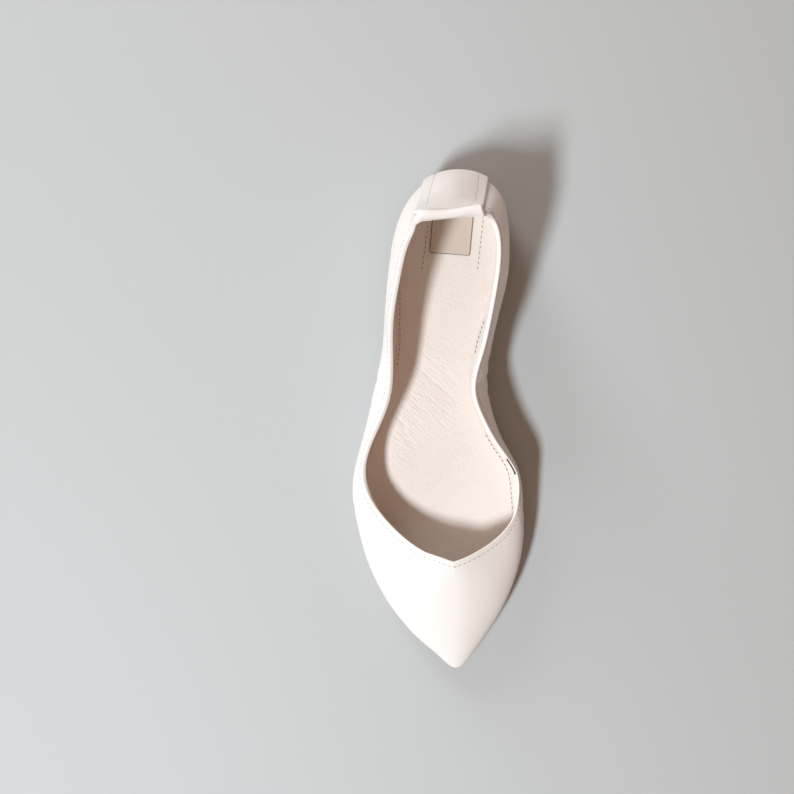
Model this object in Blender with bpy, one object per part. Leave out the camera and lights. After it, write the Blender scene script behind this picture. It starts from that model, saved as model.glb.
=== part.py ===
"""A right shoe of a pair of pointed toe flats: a hollow leather upper with a low topline, a back
strip folded over the heel as a pull tab, a leather outsole, a low stacked heel, a sock and a label.

Metres, +Z up. The toe points to -Y, the heel to +Y and the inner (medial) side of the foot to +X.
The origin is the middle of the bounding box's lowest face."""

import bpy
import bmesh
import math
import numpy as np

# Driving dimensions of the last
LENGTH = 0.262
BALL_WIDTH = 0.0886
COLLAR_HEIGHT = 0.0500
INSTEP_HEIGHT = 0.0282
BULGE_HEIGHT = 0.0095
TUCK = 0.0070
HEEL_STACK = 0.0070
HEEL_TURN = math.radians(4.5)
TOE_SPRING = 0.0030
TOE_CURVE = 1.8

# Leather, sole and clearances
UPPER_WALL = 0.0019
EDGE_WALL = 0.0023
EDGE_FOLD = 0.12
OUTSOLE_THICKNESS = 0.0030
OUTSOLE_MARGIN = 0.0006
OUTSOLE_EDGE_ROUND = 0.0005
SOCK_THICKNESS = 0.0024
GAP = 0.0003

# Heel pieces
HEEL_LENGTH = 0.0620
HEEL_BLOCK_HEIGHT = 0.0048
HEEL_BLOCK_ROUND = 0.0011
HEEL_BLOCK_INSET = 0.0006
HEEL_LIFT_INSET = 0.0002
BREAST_CURVE = 0.0035

# Ends of the sole's flat forefoot and of its arch, as shares of the length
ARCH_END = 0.575
FLAT_END = 0.725

# How the upper's section is drawn: the handles of its curves, as shares of their own spans
FOOT_LEAN = 0.85
FOOT_LIFT = 0.28
BULGE_HANDLE = 0.45
TOP_HANDLE = 0.40
RIM_INSET = 0.25

# Back strip and the pull tab at its top
STRIP_THICKNESS = 0.0014
STRIP_HOLLOW = 0.0012
HOLLOW_START = 0.80
RIM_RISE = 0.35
FOLD_STEPS = 6

# Label on the sock
LABEL_WIDTH = 0.0205
LABEL_LENGTH = 0.0240
LABEL_THICKNESS = 0.0005
LABEL_FRONT = 0.0410
LABEL_OFFSET = 0.0068
LABEL_TURN = math.radians(-5.0)
LABEL_CORNER = 0.0008

# Sizes of the mesh
COLUMN_WIDTH = 0.0046
LEAST_COLUMNS = 3
LOWER_ROWS = (0.0, 0.36, 0.70)
UPPER_ROWS = (0.0, 0.13, 0.26, 0.40, 0.54, 0.68, 0.82, 0.92, 1.0)
SOLE_STATIONS = 56
HEEL_STATIONS = 14
BREAST_STEPS = 8
ROUND_STEPS = 3
SMOOTH_ANGLE = math.radians(42.0)

# Ribs of the upper, from the heel's back to the tip of the toe. Each runs from the sole's edge over
# the widest line (side) to the topline (top). Stations are shares of LENGTH from the heel's back,
# medial and lateral are offsets from the middle line as shares of BALL_WIDTH. The height of the
# topline over the sole is collar x COLLAR_HEIGHT + instep x INSTEP_HEIGHT, and the collar is turned
# in plan by HEEL_TURN, as the heel of a last is. Bulge is the height of the widest line as a share
# of BULGE_HEIGHT, and tuck how far the sole's edge lies inside it as a share of TUCK. Rise is the
# slope in degrees at the topline, and full how far up the rib stays upright, as a share.
RIB_COLUMNS = ("side_station", "side_medial", "side_lateral", "top_station", "top_medial",
               "top_lateral", "collar", "instep", "bulge", "tuck", "rise", "full")
RIBS = {
    "heel back": (0.0073, 0.097, -0.097, 0.1010, 0.056, -0.056, 1.205, 0.000, 0.90, 0.31, 60, 0.34),
    "strip edge": (0.0205, 0.263, 0.054, 0.1005, 0.214, 0.106, 1.205, 0.000, 0.90, 0.31, 80, 0.34),
    "corner": (0.0592, 0.363, 0.172, 0.1130, 0.283, 0.141, 1.000, 0.000, 0.92, 0.33, 68, 0.36),
    "heel side": (0.1145, 0.389, 0.240, 0.1412, 0.315, 0.179, 0.960, 0.000, 0.95, 0.36, 70, 0.40),
    "heel front": (0.1908, 0.387, 0.278, 0.1927, 0.322, 0.221, 0.862, 0.000, 1.00, 0.42, 75, 0.40),
    "rear waist": (0.2748, 0.335, 0.299, 0.2729, 0.290, 0.265, 0.650, 0.090, 1.02, 0.64, 76, 0.40),
    "waist": (0.3435, 0.296, 0.322, 0.3435, 0.247, 0.272, 0.450, 0.260, 1.05, 0.93, 72, 0.42),
    "front waist": (0.4046, 0.282, 0.362, 0.4065, 0.208, 0.281, 0.280, 0.460, 1.08, 1.00, 60, 0.42),
    "shank": (0.4618, 0.314, 0.401, 0.4618, 0.253, 0.330, 0.140, 0.640, 1.08, 0.86, 62, 0.42),
    "behind ball": (0.5191, 0.378, 0.445, 0.5191, 0.345, 0.405, 0.050, 0.730, 1.02, 0.64, 70, 0.44),
    "ball rear": (0.5802, 0.471, 0.494, 0.5744, 0.450, 0.442, 0.000, 0.748, 0.95, 0.43, 68, 0.46),
    "ball": (0.6412, 0.497, 0.505, 0.6240, 0.466, 0.410, 0.000, 0.695, 0.90, 0.36, 46, 0.48),
    "vamp side": (0.7023, 0.505, 0.473, 0.6675, 0.438, 0.322, 0.000, 0.709, 0.84, 0.33, 28, 0.52),
    "vamp": (0.7634, 0.486, 0.427, 0.7006, 0.361, 0.223, 0.000, 0.780, 0.78, 0.31, 19, 0.48),
    "toe rear": (0.8244, 0.437, 0.354, 0.7233, 0.265, 0.126, 0.000, 0.870, 0.70, 0.29, 14, 0.42),
    "toe": (0.8855, 0.356, 0.246, 0.7376, 0.185, 0.038, 0.000, 0.945, 0.60, 0.26, 12, 0.36),
    "toe front": (0.9389, 0.260, 0.107, 0.7440, 0.129, -0.027, 0.000, 0.985, 0.48, 0.21, 12.5, 0.30),
    "tip side": (0.9733, 0.195, -0.007, 0.7460, 0.100, -0.059, 0.000, 0.996, 0.38, 0.17, 14, 0.24),
    "tip": (0.9992, 0.117, -0.117, 0.7463, 0.079, -0.079, 0.000, 1.000, 0.30, 0.14, 15, 0.20),
}
STRIP_RIB = 1

# Colour and roughness of each leather
FINISHES = {
    "leather": ((0.86, 0.76, 0.68, 1.0), 0.50),
    "sock": ((0.82, 0.71, 0.62, 1.0), 0.65),
    "label": ((0.60, 0.52, 0.45, 1.0), 0.70),
    "sole": ((0.80, 0.58, 0.40, 1.0), 0.60),
    "heel": ((0.20, 0.11, 0.07, 1.0), 0.55),
}


def smooth(x):
    """Zero below 0, one above 1, with no corner between."""
    x = np.clip(x, 0.0, 1.0)
    return x * x * (3.0 - 2.0 * x)


def sole_bottom(station):
    """Height of the outsole's lower face at this distance from the heel's back."""
    arch = 1.0 - smooth((station - HEEL_LENGTH) / (ARCH_END * LENGTH - HEEL_LENGTH))
    toe = np.clip((station - FLAT_END * LENGTH) / ((1.0 - FLAT_END) * LENGTH), 0.0, None)
    return HEEL_STACK * arch + TOE_SPRING * toe**TOE_CURVE


def sole_top(station):
    return sole_bottom(station) + OUTSOLE_THICKNESS


def seat(station):
    """Height at which the upper's wall and the sock rest."""
    return sole_top(station) + GAP


def rib_knots():
    """Each rib's values once round the shoe: heel back, medial ribs, tip, lateral ribs."""
    rows = [dict(zip(RIB_COLUMNS, row)) for row in RIBS.values()]
    last = len(rows) - 1
    walk = [(i, 1) for i in range(last + 1)] + [(i, -1) for i in range(last - 1, 0, -1)]
    knots = []
    for i, side in walk:
        row = rows[i]
        across = ("side_medial", "top_medial") if side > 0 else ("side_lateral", "top_lateral")
        turned = side * row[across[1]] * BALL_WIDTH * math.tan(HEEL_TURN)
        top_station = row["top_station"] * LENGTH - turned * smooth(row["collar"])
        height = row["collar"] * COLLAR_HEIGHT + row["instep"] * INSTEP_HEIGHT
        knots.append((
            side * row[across[0]] * BALL_WIDTH,
            row["side_station"] * LENGTH,
            side * row[across[1]] * BALL_WIDTH,
            top_station,
            seat(top_station) + height,
            row["bulge"] * BULGE_HEIGHT,
            row["tuck"] * TUCK,
            math.radians(row["rise"]),
            row["full"],
        ))
    return np.array(knots)


def closed_spline(knots, places, values):
    """A smooth curve that closes on itself through the knots, read at the given values."""
    count = len(places) - 1
    spans = np.diff(places)
    system = np.zeros((count, count))
    right = np.zeros((count, knots.shape[1]))
    slopes = (np.roll(knots, -1, axis=0) - knots) / spans[:, None]
    for i in range(count):
        before = spans[i - 1]
        after = spans[i]
        system[i, i - 1] += after
        system[i, i] += 2.0 * (before + after)
        system[i, (i + 1) % count] += before
        right[i] = 3.0 * (after * slopes[i - 1] + before * slopes[i])
    tangents = np.linalg.solve(system, right)
    span = np.clip(np.searchsorted(places, values, side="right") - 1, 0, count - 1)
    t = ((values - places[span]) / spans[span])[:, None]
    following = (span + 1) % count
    width = spans[span][:, None]
    return (
        (2 * t**3 - 3 * t**2 + 1) * knots[span]
        + (t**3 - 2 * t**2 + t) * width * tangents[span]
        + (3 * t**2 - 2 * t**3) * knots[following]
        + (t**3 - t**2) * width * tangents[following]
    )


def eased(knots, places, values):
    """A curve through the knots that never passes beyond them, for heights and slopes."""
    count = len(places) - 1
    span = np.clip(np.searchsorted(places, values, side="right") - 1, 0, count - 1)
    spans = np.diff(places)
    slopes = (np.roll(knots, -1, axis=0) - knots) / spans[:, None]
    before = np.roll(slopes, 1, axis=0)
    mean = 2.0 * before * slopes / np.where(before * slopes > 0.0, before + slopes, 1.0)
    tangents = np.where(before * slopes > 0.0, mean, 0.0)
    t = ((values - places[span]) / spans[span])[:, None]
    following = (span + 1) % count
    width = spans[span][:, None]
    return (
        (2 * t**3 - 3 * t**2 + 1) * knots[span]
        + (t**3 - 2 * t**2 + t) * width * tangents[span]
        + (3 * t**2 - 2 * t**3) * knots[following]
        + (t**3 - t**2) * width * tangents[following]
    )


def columns():
    """The ribs, read finely round the shoe, and the number of columns from the heel to the strip."""
    knots = rib_knots()
    steps = np.linalg.norm(np.roll(knots, -1, axis=0)[:, :2] - knots[:, :2], axis=1)
    places = np.concatenate([[0.0], np.cumsum(steps)])
    values = []
    to_strip = 0
    for i, step in enumerate(steps):
        count = max(LEAST_COLUMNS, round(step / COLUMN_WIDTH))
        values.extend(places[i] + step * np.arange(count) / count)
        if i < STRIP_RIB:
            to_strip += count
    values = np.array(values)
    plan = closed_spline(knots[:, :4], places, values)
    return np.hstack([plan, eased(knots[:, 4:], places, values)]), to_strip


def cubic(a, b, c, d, t):
    return (1 - t) ** 3 * a + 3 * (1 - t) ** 2 * t * b + 3 * (1 - t) * t**2 * c + t**3 * d


def inward(points):
    """Unit directions in plan that point into a loop walked from the heel along the medial side."""
    along = np.roll(points, -1, axis=0) - np.roll(points, 1, axis=0)
    across = np.stack([-along[:, 1], along[:, 0]], axis=1)
    return across / np.linalg.norm(across, axis=1)[:, None]


def outer_surface(ribs):
    """Rows of points from the sole's edge to the topline, one column for each rib."""
    side = ribs[:, 0:2]
    top = ribs[:, 2:5]
    bulge, tuck, rise, full = ribs[:, 5:9].T
    away = -inward(side)
    foot = side - away * tuck[:, None]
    foot = np.column_stack([foot, seat(foot[:, 1])])
    wide = np.column_stack([side, seat(side[:, 1]) + bulge])
    up = np.array([0.0, 0.0, 1.0])
    lean = np.column_stack([away * tuck[:, None] * FOOT_LEAN, FOOT_LIFT * bulge])
    drop = up * BULGE_HANDLE * bulge[:, None]
    rows = [cubic(foot, foot + lean, wide - drop, wide, t) for t in LOWER_ROWS]
    run = top[:, :2] - side
    reach = np.linalg.norm(top - wide, axis=1)[:, None]
    run = run / np.linalg.norm(run, axis=1)[:, None]
    arrive = np.column_stack([run * np.cos(rise)[:, None], np.sin(rise)])
    climb = (top[:, 2] - wide[:, 2])[:, None]
    lift = wide + up * (full[:, None] * climb)
    rows += [cubic(wide, lift, top - arrive * TOP_HANDLE * reach, top, t) for t in UPPER_ROWS]
    return np.array(rows)


def surface_normals(grid):
    """Outward normals of a grid of rows that close on themselves."""
    across = np.roll(grid, -1, axis=1) - np.roll(grid, 1, axis=1)
    along = np.gradient(grid, axis=0)
    normals = np.cross(across, along)
    return normals / np.linalg.norm(normals, axis=2)[:, :, None]


def directions_up(grid):
    """Unit directions from each row to the next along the last two rows."""
    step = grid[-1] - grid[-2]
    return step / np.linalg.norm(step, axis=1)[:, None]


def upper_faces():
    """Outer and inner grid of the upper, with its edge rounded, and the surface they come from."""
    ribs, to_strip = columns()
    outer = outer_surface(ribs)
    normals = surface_normals(outer)
    share = np.linspace(0.0, 1.0, len(outer))
    wall = UPPER_WALL + (EDGE_WALL - UPPER_WALL) * smooth((share - 1.0 + EDGE_FOLD) / EDGE_FOLD)
    inner = outer - normals * wall[:, None, None]
    inner[0, :, 2] = outer[0, :, 2]
    rise = directions_up(outer) * RIM_RISE * EDGE_WALL
    quarter = normals[-1] * EDGE_WALL * RIM_INSET
    outer_grid = np.concatenate([outer, [outer[-1] - quarter + rise]])
    inner_grid = np.concatenate([inner, [inner[-1] + quarter + rise]])
    return outer_grid, inner_grid, outer, normals, to_strip


def frame_point(point):
    """From offset, distance from the heel's back and height to the shoe's own axes."""
    return (point[0], -point[1], point[2])


def add_object(name, builder, material):
    mesh = bpy.data.meshes.new(name)
    bmesh.ops.recalc_face_normals(builder, faces=builder.faces)
    builder.to_mesh(mesh)
    builder.free()
    mesh.materials.append(material)
    mesh.shade_smooth()
    mesh.set_sharp_from_angle(angle=SMOOTH_ANGLE)
    made = bpy.data.objects.new(name, mesh)
    bpy.context.scene.collection.objects.link(made)
    return made


def leather_sheet(front, back, closed):
    """A solid between two grids of rows and columns; closed joins the last column to the first."""
    builder = bmesh.new()
    one, two = [[[builder.verts.new(frame_point(p)) for p in row] for row in grid]
                for grid in (front, back)]
    rows = len(front)
    count = len(front[0])
    spans = count if closed else count - 1
    for j in range(spans):
        k = (j + 1) % count
        for side in (one, two):
            for i in range(rows - 1):
                builder.faces.new((side[i][j], side[i][k], side[i + 1][k], side[i + 1][j]))
        for i in (0, rows - 1):
            builder.faces.new((one[i][j], one[i][k], two[i][k], two[i][j]))
    if not closed:
        for j in (0, count - 1):
            for i in range(rows - 1):
                builder.faces.new((one[i][j], one[i + 1][j], two[i + 1][j], two[i][j]))
    return builder


def back_strip_faces(outer, normals, to_strip):
    """Near and far grid of the strip, which lies on the heel's back, leaves it near the top and
    folds over the upper's edge."""
    picked = list(range(-to_strip, to_strip + 1))
    surface = outer[:, picked]
    facing = normals[:, picked]
    share = np.linspace(0.0, 1.0, len(surface))
    hollow = STRIP_HOLLOW * smooth((share - HOLLOW_START) / (1.0 - HOLLOW_START))
    inside = GAP + hollow
    fold_facing = facing[-1].mean(axis=0)
    fold_facing = np.tile(fold_facing / np.linalg.norm(fold_facing), (len(picked), 1))
    turn = smooth((share - HOLLOW_START) / (1.0 - HOLLOW_START))[:, None, None]
    facing = facing * (1.0 - turn) + fold_facing * turn
    facing = facing / np.linalg.norm(facing, axis=2)[:, :, None]
    near = surface + facing * inside[:, None, None]
    far = near + facing * STRIP_THICKNESS
    near[0, :, 2] = surface[0, :, 2]
    far[0, :, 2] = surface[0, :, 2]
    up = directions_up(surface)
    first = inside[-1]
    last = -(EDGE_WALL - STRIP_THICKNESS)
    radius = 0.5 * (first - last)
    middle = surface[-1] + fold_facing * 0.5 * (first + last) + up * (RIM_RISE * EDGE_WALL + GAP)
    near_fold = []
    far_fold = []
    for k in range(FOLD_STEPS + 1):
        angle = math.pi * k / FOLD_STEPS
        spoke = fold_facing * math.cos(angle) + up * math.sin(angle)
        near_fold.append(middle + spoke * radius)
        far_fold.append(middle + spoke * (radius + STRIP_THICKNESS))
    return np.concatenate([near, near_fold]), np.concatenate([far, far_fold])


def loop_at_height(inner, height):
    """The loop in plan where the inner wall stands this high over the sole."""
    loop = []
    for column in np.swapaxes(inner, 0, 1):
        over = column[:, 2] - seat(column[:, 1])
        above = int(np.argmax(over > height))
        if above == 0:
            loop.append(column[0, :2])
            continue
        t = (height - over[above - 1]) / (over[above] - over[above - 1])
        loop.append(column[above - 1, :2] * (1 - t) + column[above, :2] * t)
    return np.array(loop)


def inset(loop, distance):
    """The loop moved inwards in plan."""
    return loop + inward(loop) * distance


def edges_by_station(loop):
    """Functions that give the medial and lateral offset of a loop at a distance from the heel."""
    back = int(np.argmin(loop[:, 1]))
    turned = np.roll(loop, -back, axis=0)
    front = int(np.argmax(turned[:, 1]))
    medial = turned[: front + 1]
    lateral = np.concatenate([turned[front:], turned[:1]])[::-1]
    ends = turned[0, 1], turned[front, 1]

    def offsets(stations):
        return (
            np.interp(stations, medial[:, 1], medial[:, 0]),
            np.interp(stations, lateral[:, 1], lateral[:, 0]),
        )

    return offsets, ends


def ring(loop, count, height):
    """Medial points from heel to toe and lateral points facing them, at the height of a function."""
    offsets, (start, end) = edges_by_station(loop)
    share = 0.5 - 0.5 * np.cos(np.pi * (np.arange(count) + 0.5) / count)
    stations = start + (end - start) * share
    medial, lateral = offsets(stations)
    level = height(stations)
    return np.column_stack([medial, stations, level]), np.column_stack([lateral, stations, level])


def slab(rings):
    """A closed solid through rings, lowest first, each a medial and a lateral row of points."""
    builder = bmesh.new()
    loops = []
    for medial, lateral in rings:
        points = list(medial) + list(lateral)[::-1]
        loops.append([builder.verts.new(frame_point(p)) for p in points])
    size = len(loops[0])
    for low, high in zip(loops, loops[1:]):
        for j in range(size):
            k = (j + 1) % size
            builder.faces.new((low[j], low[k], high[k], high[j]))
    for loop in (loops[0], loops[-1]):
        for j in range(size // 2 - 1):
            builder.faces.new((loop[j], loop[j + 1], loop[size - 2 - j], loop[size - 1 - j]))
    return builder


def outsole(edge):
    eased_edge = inset(edge, OUTSOLE_EDGE_ROUND)
    levels = (
        (eased_edge, sole_bottom),
        (edge, lambda d: sole_bottom(d) + OUTSOLE_EDGE_ROUND),
        (edge, lambda d: sole_top(d) - OUTSOLE_EDGE_ROUND),
        (eased_edge, sole_top),
    )
    return slab([ring(loop, SOLE_STATIONS, height) for loop, height in levels])


def sock(inner):
    low = inset(loop_at_height(inner, 0.0), GAP)
    high = inset(loop_at_height(inner, SOCK_THICKNESS), GAP)
    levels = ((low, seat), (high, lambda d: seat(d) + SOCK_THICKNESS))
    return slab([ring(loop, SOLE_STATIONS, height) for loop, height in levels])


def heel_ring(edge, height):
    """The back of the sole's outline, closed at the heel's breast by a shallow hollow curve."""
    offsets, (start, _) = edges_by_station(edge)
    share = 1.0 - np.cos(0.5 * np.pi * (np.arange(HEEL_STATIONS) + 0.5) / HEEL_STATIONS)
    stations = start + (HEEL_LENGTH - start) * share
    medial, lateral = offsets(stations)
    breast_medial, breast_lateral = offsets(np.array([HEEL_LENGTH]))
    points = [(x, d, height) for x, d in zip(medial, stations)]
    for t in np.linspace(0.0, 1.0, BREAST_STEPS + 1):
        across = breast_medial[0] * (1 - t) + breast_lateral[0] * t
        points.append((across, HEEL_LENGTH - BREAST_CURVE * 4.0 * t * (1.0 - t), height))
    points += [(x, d, height) for x, d in zip(lateral[::-1], stations[::-1])]
    return points


def stack_piece(levels):
    """A flat layer of the heel: rings at given heights with flat lower and upper faces."""
    builder = bmesh.new()
    loops = [[builder.verts.new(frame_point(p)) for p in points] for points in levels]
    size = len(loops[0])
    for low, high in zip(loops, loops[1:]):
        for j in range(size):
            k = (j + 1) % size
            builder.faces.new((low[j], low[k], high[k], high[j]))
    builder.faces.new(loops[0])
    builder.faces.new(loops[-1])
    return builder


def heel_block(edge):
    side = inset(edge, HEEL_BLOCK_INSET)
    rounding = []
    for k in range(ROUND_STEPS + 1):
        angle = 0.5 * math.pi * k / ROUND_STEPS
        inwards = HEEL_BLOCK_ROUND * (1.0 - math.sin(angle))
        height = HEEL_BLOCK_ROUND * (1.0 - math.cos(angle))
        rounding.append(heel_ring(inset(side, inwards), height))
    return stack_piece(rounding + [heel_ring(side, HEEL_BLOCK_HEIGHT)])


def heel_lift(edge):
    side = inset(edge, HEEL_LIFT_INSET)
    low = HEEL_BLOCK_HEIGHT + GAP
    return stack_piece([heel_ring(side, low), heel_ring(side, HEEL_STACK - GAP)])


def label():
    """A thin patch on the sock, turned with the heel and laid across the shoe's middle."""
    low = seat(0.0) + SOCK_THICKNESS + GAP
    builder = bmesh.new()
    bmesh.ops.create_cube(builder, size=1.0)
    bmesh.ops.scale(builder, vec=(LABEL_WIDTH, LABEL_LENGTH, LABEL_THICKNESS), verts=builder.verts)
    upright = [e for e in builder.edges if abs(e.verts[0].co.z - e.verts[1].co.z) > LABEL_THICKNESS / 2]
    bmesh.ops.bevel(builder, geom=upright, offset=LABEL_CORNER, offset_type="OFFSET", segments=3,
                    profile=0.5, affect="EDGES", material=-1)
    turn = np.array([[math.cos(LABEL_TURN), -math.sin(LABEL_TURN)],
                     [math.sin(LABEL_TURN), math.cos(LABEL_TURN)]])
    middle = (LABEL_OFFSET, LABEL_LENGTH / 2 - LABEL_FRONT, low + LABEL_THICKNESS / 2)
    for vertex in builder.verts:
        x, y = turn @ (vertex.co.x, vertex.co.y)
        vertex.co = (x + middle[0], y + middle[1], vertex.co.z + middle[2])
    return builder


def finish(name):
    colour, roughness = FINISHES[name]
    made = bpy.data.materials.new(name)
    made.use_nodes = True
    shader = made.node_tree.nodes["Principled BSDF"]
    shader.inputs["Base Color"].default_value = colour
    shader.inputs["Roughness"].default_value = roughness
    return made


def put_origin_under_middle(objects):
    """Moves all meshes alike, so that the origin is the middle of the lowest face of their box."""
    corners = np.array([v.co for made in objects for v in made.data.vertices])
    low = corners.min(axis=0)
    high = corners.max(axis=0)
    shift = ((low[0] + high[0]) / 2, (low[1] + high[1]) / 2, low[2])
    for made in objects:
        for vertex in made.data.vertices:
            vertex.co = [c - s for c, s in zip(vertex.co, shift)]


for old in list(bpy.data.objects):
    bpy.data.objects.remove(old, do_unlink=True)

outer_grid, inner_grid, outer, normals, to_strip = upper_faces()
strip_faces = back_strip_faces(outer, normals, to_strip)
foot_line = outer[0, :, :2]
sole_edge = inset(foot_line, -OUTSOLE_MARGIN)
leather = finish("leather")
heel_brown = finish("heel")
shoe = [
    add_object("upper", leather_sheet(outer_grid, inner_grid, closed=True), leather),
    add_object("back_strip", leather_sheet(*strip_faces, closed=False), leather),
    add_object("outsole", outsole(sole_edge), finish("sole")),
    add_object("insole", sock(inner_grid), finish("sock")),
    add_object("heel_lift", heel_lift(sole_edge), heel_brown),
    add_object("heel_block", heel_block(sole_edge), heel_brown),
    add_object("label", label(), finish("label")),
]
put_origin_under_middle(shoe)
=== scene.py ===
"""The looks of a right pointed toe flat shoe in soft cream leather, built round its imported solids.

Metres, +Z up. The toe points to -Y, the heel to +Y and the inner side of the foot to +X. Each section
makes one piece, in the order in which a maker puts the shoe together."""

import math

import bmesh
import bpy
import numpy as np
from mathutils import Matrix, Vector, noise


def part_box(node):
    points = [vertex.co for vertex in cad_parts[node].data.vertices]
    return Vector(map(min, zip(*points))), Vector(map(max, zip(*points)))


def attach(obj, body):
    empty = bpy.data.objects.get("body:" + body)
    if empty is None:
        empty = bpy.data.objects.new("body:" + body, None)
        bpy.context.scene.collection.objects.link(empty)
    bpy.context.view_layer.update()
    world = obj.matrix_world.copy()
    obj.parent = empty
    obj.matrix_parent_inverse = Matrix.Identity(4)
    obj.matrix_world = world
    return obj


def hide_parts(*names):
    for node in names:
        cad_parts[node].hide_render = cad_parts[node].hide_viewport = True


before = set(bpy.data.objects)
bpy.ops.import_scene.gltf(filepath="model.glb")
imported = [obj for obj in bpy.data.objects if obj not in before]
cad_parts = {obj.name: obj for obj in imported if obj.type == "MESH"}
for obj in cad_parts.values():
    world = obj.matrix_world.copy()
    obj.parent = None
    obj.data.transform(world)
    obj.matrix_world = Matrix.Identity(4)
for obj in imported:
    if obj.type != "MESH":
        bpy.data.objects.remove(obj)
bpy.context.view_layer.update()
MM = 0.001


# Camera: it hangs over the shoe's heel half and looks down and a little towards the toe. FOOT_PIXEL is
# where the point straight below it shows in the square picture.
PICTURE = 794.0
FOCAL_PIXELS = 855.0
FOOT_PIXEL = (435.0, 297.0)
CAMERA_PLACE = (-1.55 * MM, 68.59 * MM, 452.0 * MM)

down = Vector(((FOOT_PIXEL[0] - PICTURE / 2) / FOCAL_PIXELS,
               (PICTURE / 2 - FOOT_PIXEL[1]) / FOCAL_PIXELS, -1.0))
down.normalize()
ahead = (Vector((0.0, 1.0, 0.0)) - down * down.y).normalized()
across = ahead.cross(-down)
camera_data = bpy.data.cameras.new("camera")
camera_data.sensor_width = 36.0
camera_data.lens = camera_data.sensor_width * FOCAL_PIXELS / PICTURE
camera_data.clip_start = 0.01
camera_data.clip_end = 20.0
camera = bpy.data.objects.new("camera", camera_data)
camera.matrix_world = Matrix.Translation(CAMERA_PLACE) @ Matrix((across, ahead, -down)).to_4x4()
bpy.context.scene.collection.objects.link(camera)
bpy.context.scene.camera = camera
bpy.context.scene.view_settings.view_transform = "Standard"


# Light: a small bright lamp of cool daylight high over the toe's outer side, a soft low window behind
# the heel's outer side, and a little warm light from all round, as in a small pale studio. Places and
# sizes are in metres, and a spread under 180 degrees keeps a lamp's light nearer its own axis.
LAMPS = {
    "key lamp": {"place": (-0.66, -0.57, 1.20), "size": (0.20, 0.38), "spread": 180.0,
                 "watts": 24.8, "colour": (0.81, 0.92, 0.99)},
    "rear window": {"place": (-0.58, 1.15, 0.42), "size": (0.60, 0.60), "spread": 80.0,
                    "watts": 2.5, "colour": (0.86, 0.95, 1.0)},
}
SKY = (1.0, 0.70, 0.53)
SKY_STRENGTH = 0.34

for lamp_name, lamp in LAMPS.items():
    lamp_data = bpy.data.lights.new(lamp_name, "AREA")
    lamp_data.shape = "ELLIPSE"
    lamp_data.size, lamp_data.size_y = lamp["size"]
    lamp_data.spread = math.radians(lamp["spread"])
    lamp_data.energy = lamp["watts"]
    lamp_data.color = lamp["colour"]
    lamp_object = bpy.data.objects.new(lamp_name, lamp_data)
    lamp_object.location = lamp["place"]
    away = Vector(lamp["place"]).normalized()
    sideways = Vector((0.0, 1.0, 0.0)).cross(away).normalized()
    lamp_object.rotation_euler = Matrix((sideways, away.cross(sideways), away)).transposed().to_euler()
    bpy.context.scene.collection.objects.link(lamp_object)
world = bpy.data.worlds.new("studio")
bpy.context.scene.world = world
world.use_nodes = True
world.node_tree.nodes["Background"].inputs["Color"].default_value = (*SKY, 1.0)
world.node_tree.nodes["Background"].inputs["Strength"].default_value = SKY_STRENGTH


# Floor: a plain pale board, matt and neutral in tone, on which the shoe stands. It runs well past the
# picture on every side.
FLOOR_SIDE = 12.0
FLOOR_COLOUR = (0.458, 0.456, 0.450, 1.0)


def piece(name, builder, materials, flat_angle=None):
    """A finished mesh object at the origin, smooth but for edges sharper than flat_angle in degrees."""
    mesh = bpy.data.meshes.new(name)
    builder.to_mesh(mesh)
    builder.free()
    for material in materials:
        mesh.materials.append(material)
    mesh.shade_smooth()
    if flat_angle is not None:
        mesh.set_sharp_from_angle(angle=math.radians(flat_angle))
    made = bpy.data.objects.new(name, mesh)
    bpy.context.scene.collection.objects.link(made)
    return made


def new_material(name, roughness):
    """A material and its node tree, with the plain values of its shader set."""
    made = bpy.data.materials.new(name)
    made.use_nodes = True
    made.node_tree.nodes["Principled BSDF"].inputs["Roughness"].default_value = roughness
    return made, made.node_tree


floor_paint, floor_tree = new_material("pale floor", 0.85)
floor_tree.nodes["Principled BSDF"].inputs["Base Color"].default_value = FLOOR_COLOUR
floor_mesh = bmesh.new()
bmesh.ops.create_grid(floor_mesh, x_segments=1, y_segments=1, size=FLOOR_SIDE / 2)
floor = piece("floor", floor_mesh, [floor_paint])


# Upper: pale cream leather outside and a thin leather lining inside, turned over each other at the
# topline and stitched there, pulled over a pointed last and cemented down under its lower edge. At
# the heel's back it rises to a pull tab, whose top is a thick roll with a hollow behind it.
LENGTH = 262.0 * MM
BALL_WIDTH = 88.6 * MM
COLLAR_HEIGHT = 50.0 * MM
INSTEP_HEIGHT = 28.2 * MM
BULGE_HEIGHT = 9.5 * MM
TUCK = 7.0 * MM
HEEL_STACK = 7.0 * MM
HEEL_LENGTH = 62.0 * MM
HEEL_TURN = math.radians(4.5)
TOE_SPRING = 3.0 * MM
TOE_CURVE = 1.8
ARCH_END = 0.575
FLAT_END = 0.725
OUTSOLE_THICKNESS = 3.0 * MM
GAP = 0.3 * MM
UPPER_WALL = 1.9 * MM
EDGE_WALL = 2.3 * MM
EDGE_FOLD = 9.0 * MM
RIM_RISE = 0.8 * MM
FOOT_LEAN = 0.85
FOOT_LIFT = 0.28
BULGE_HANDLE = 0.45
TOP_HANDLE = 0.40

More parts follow.
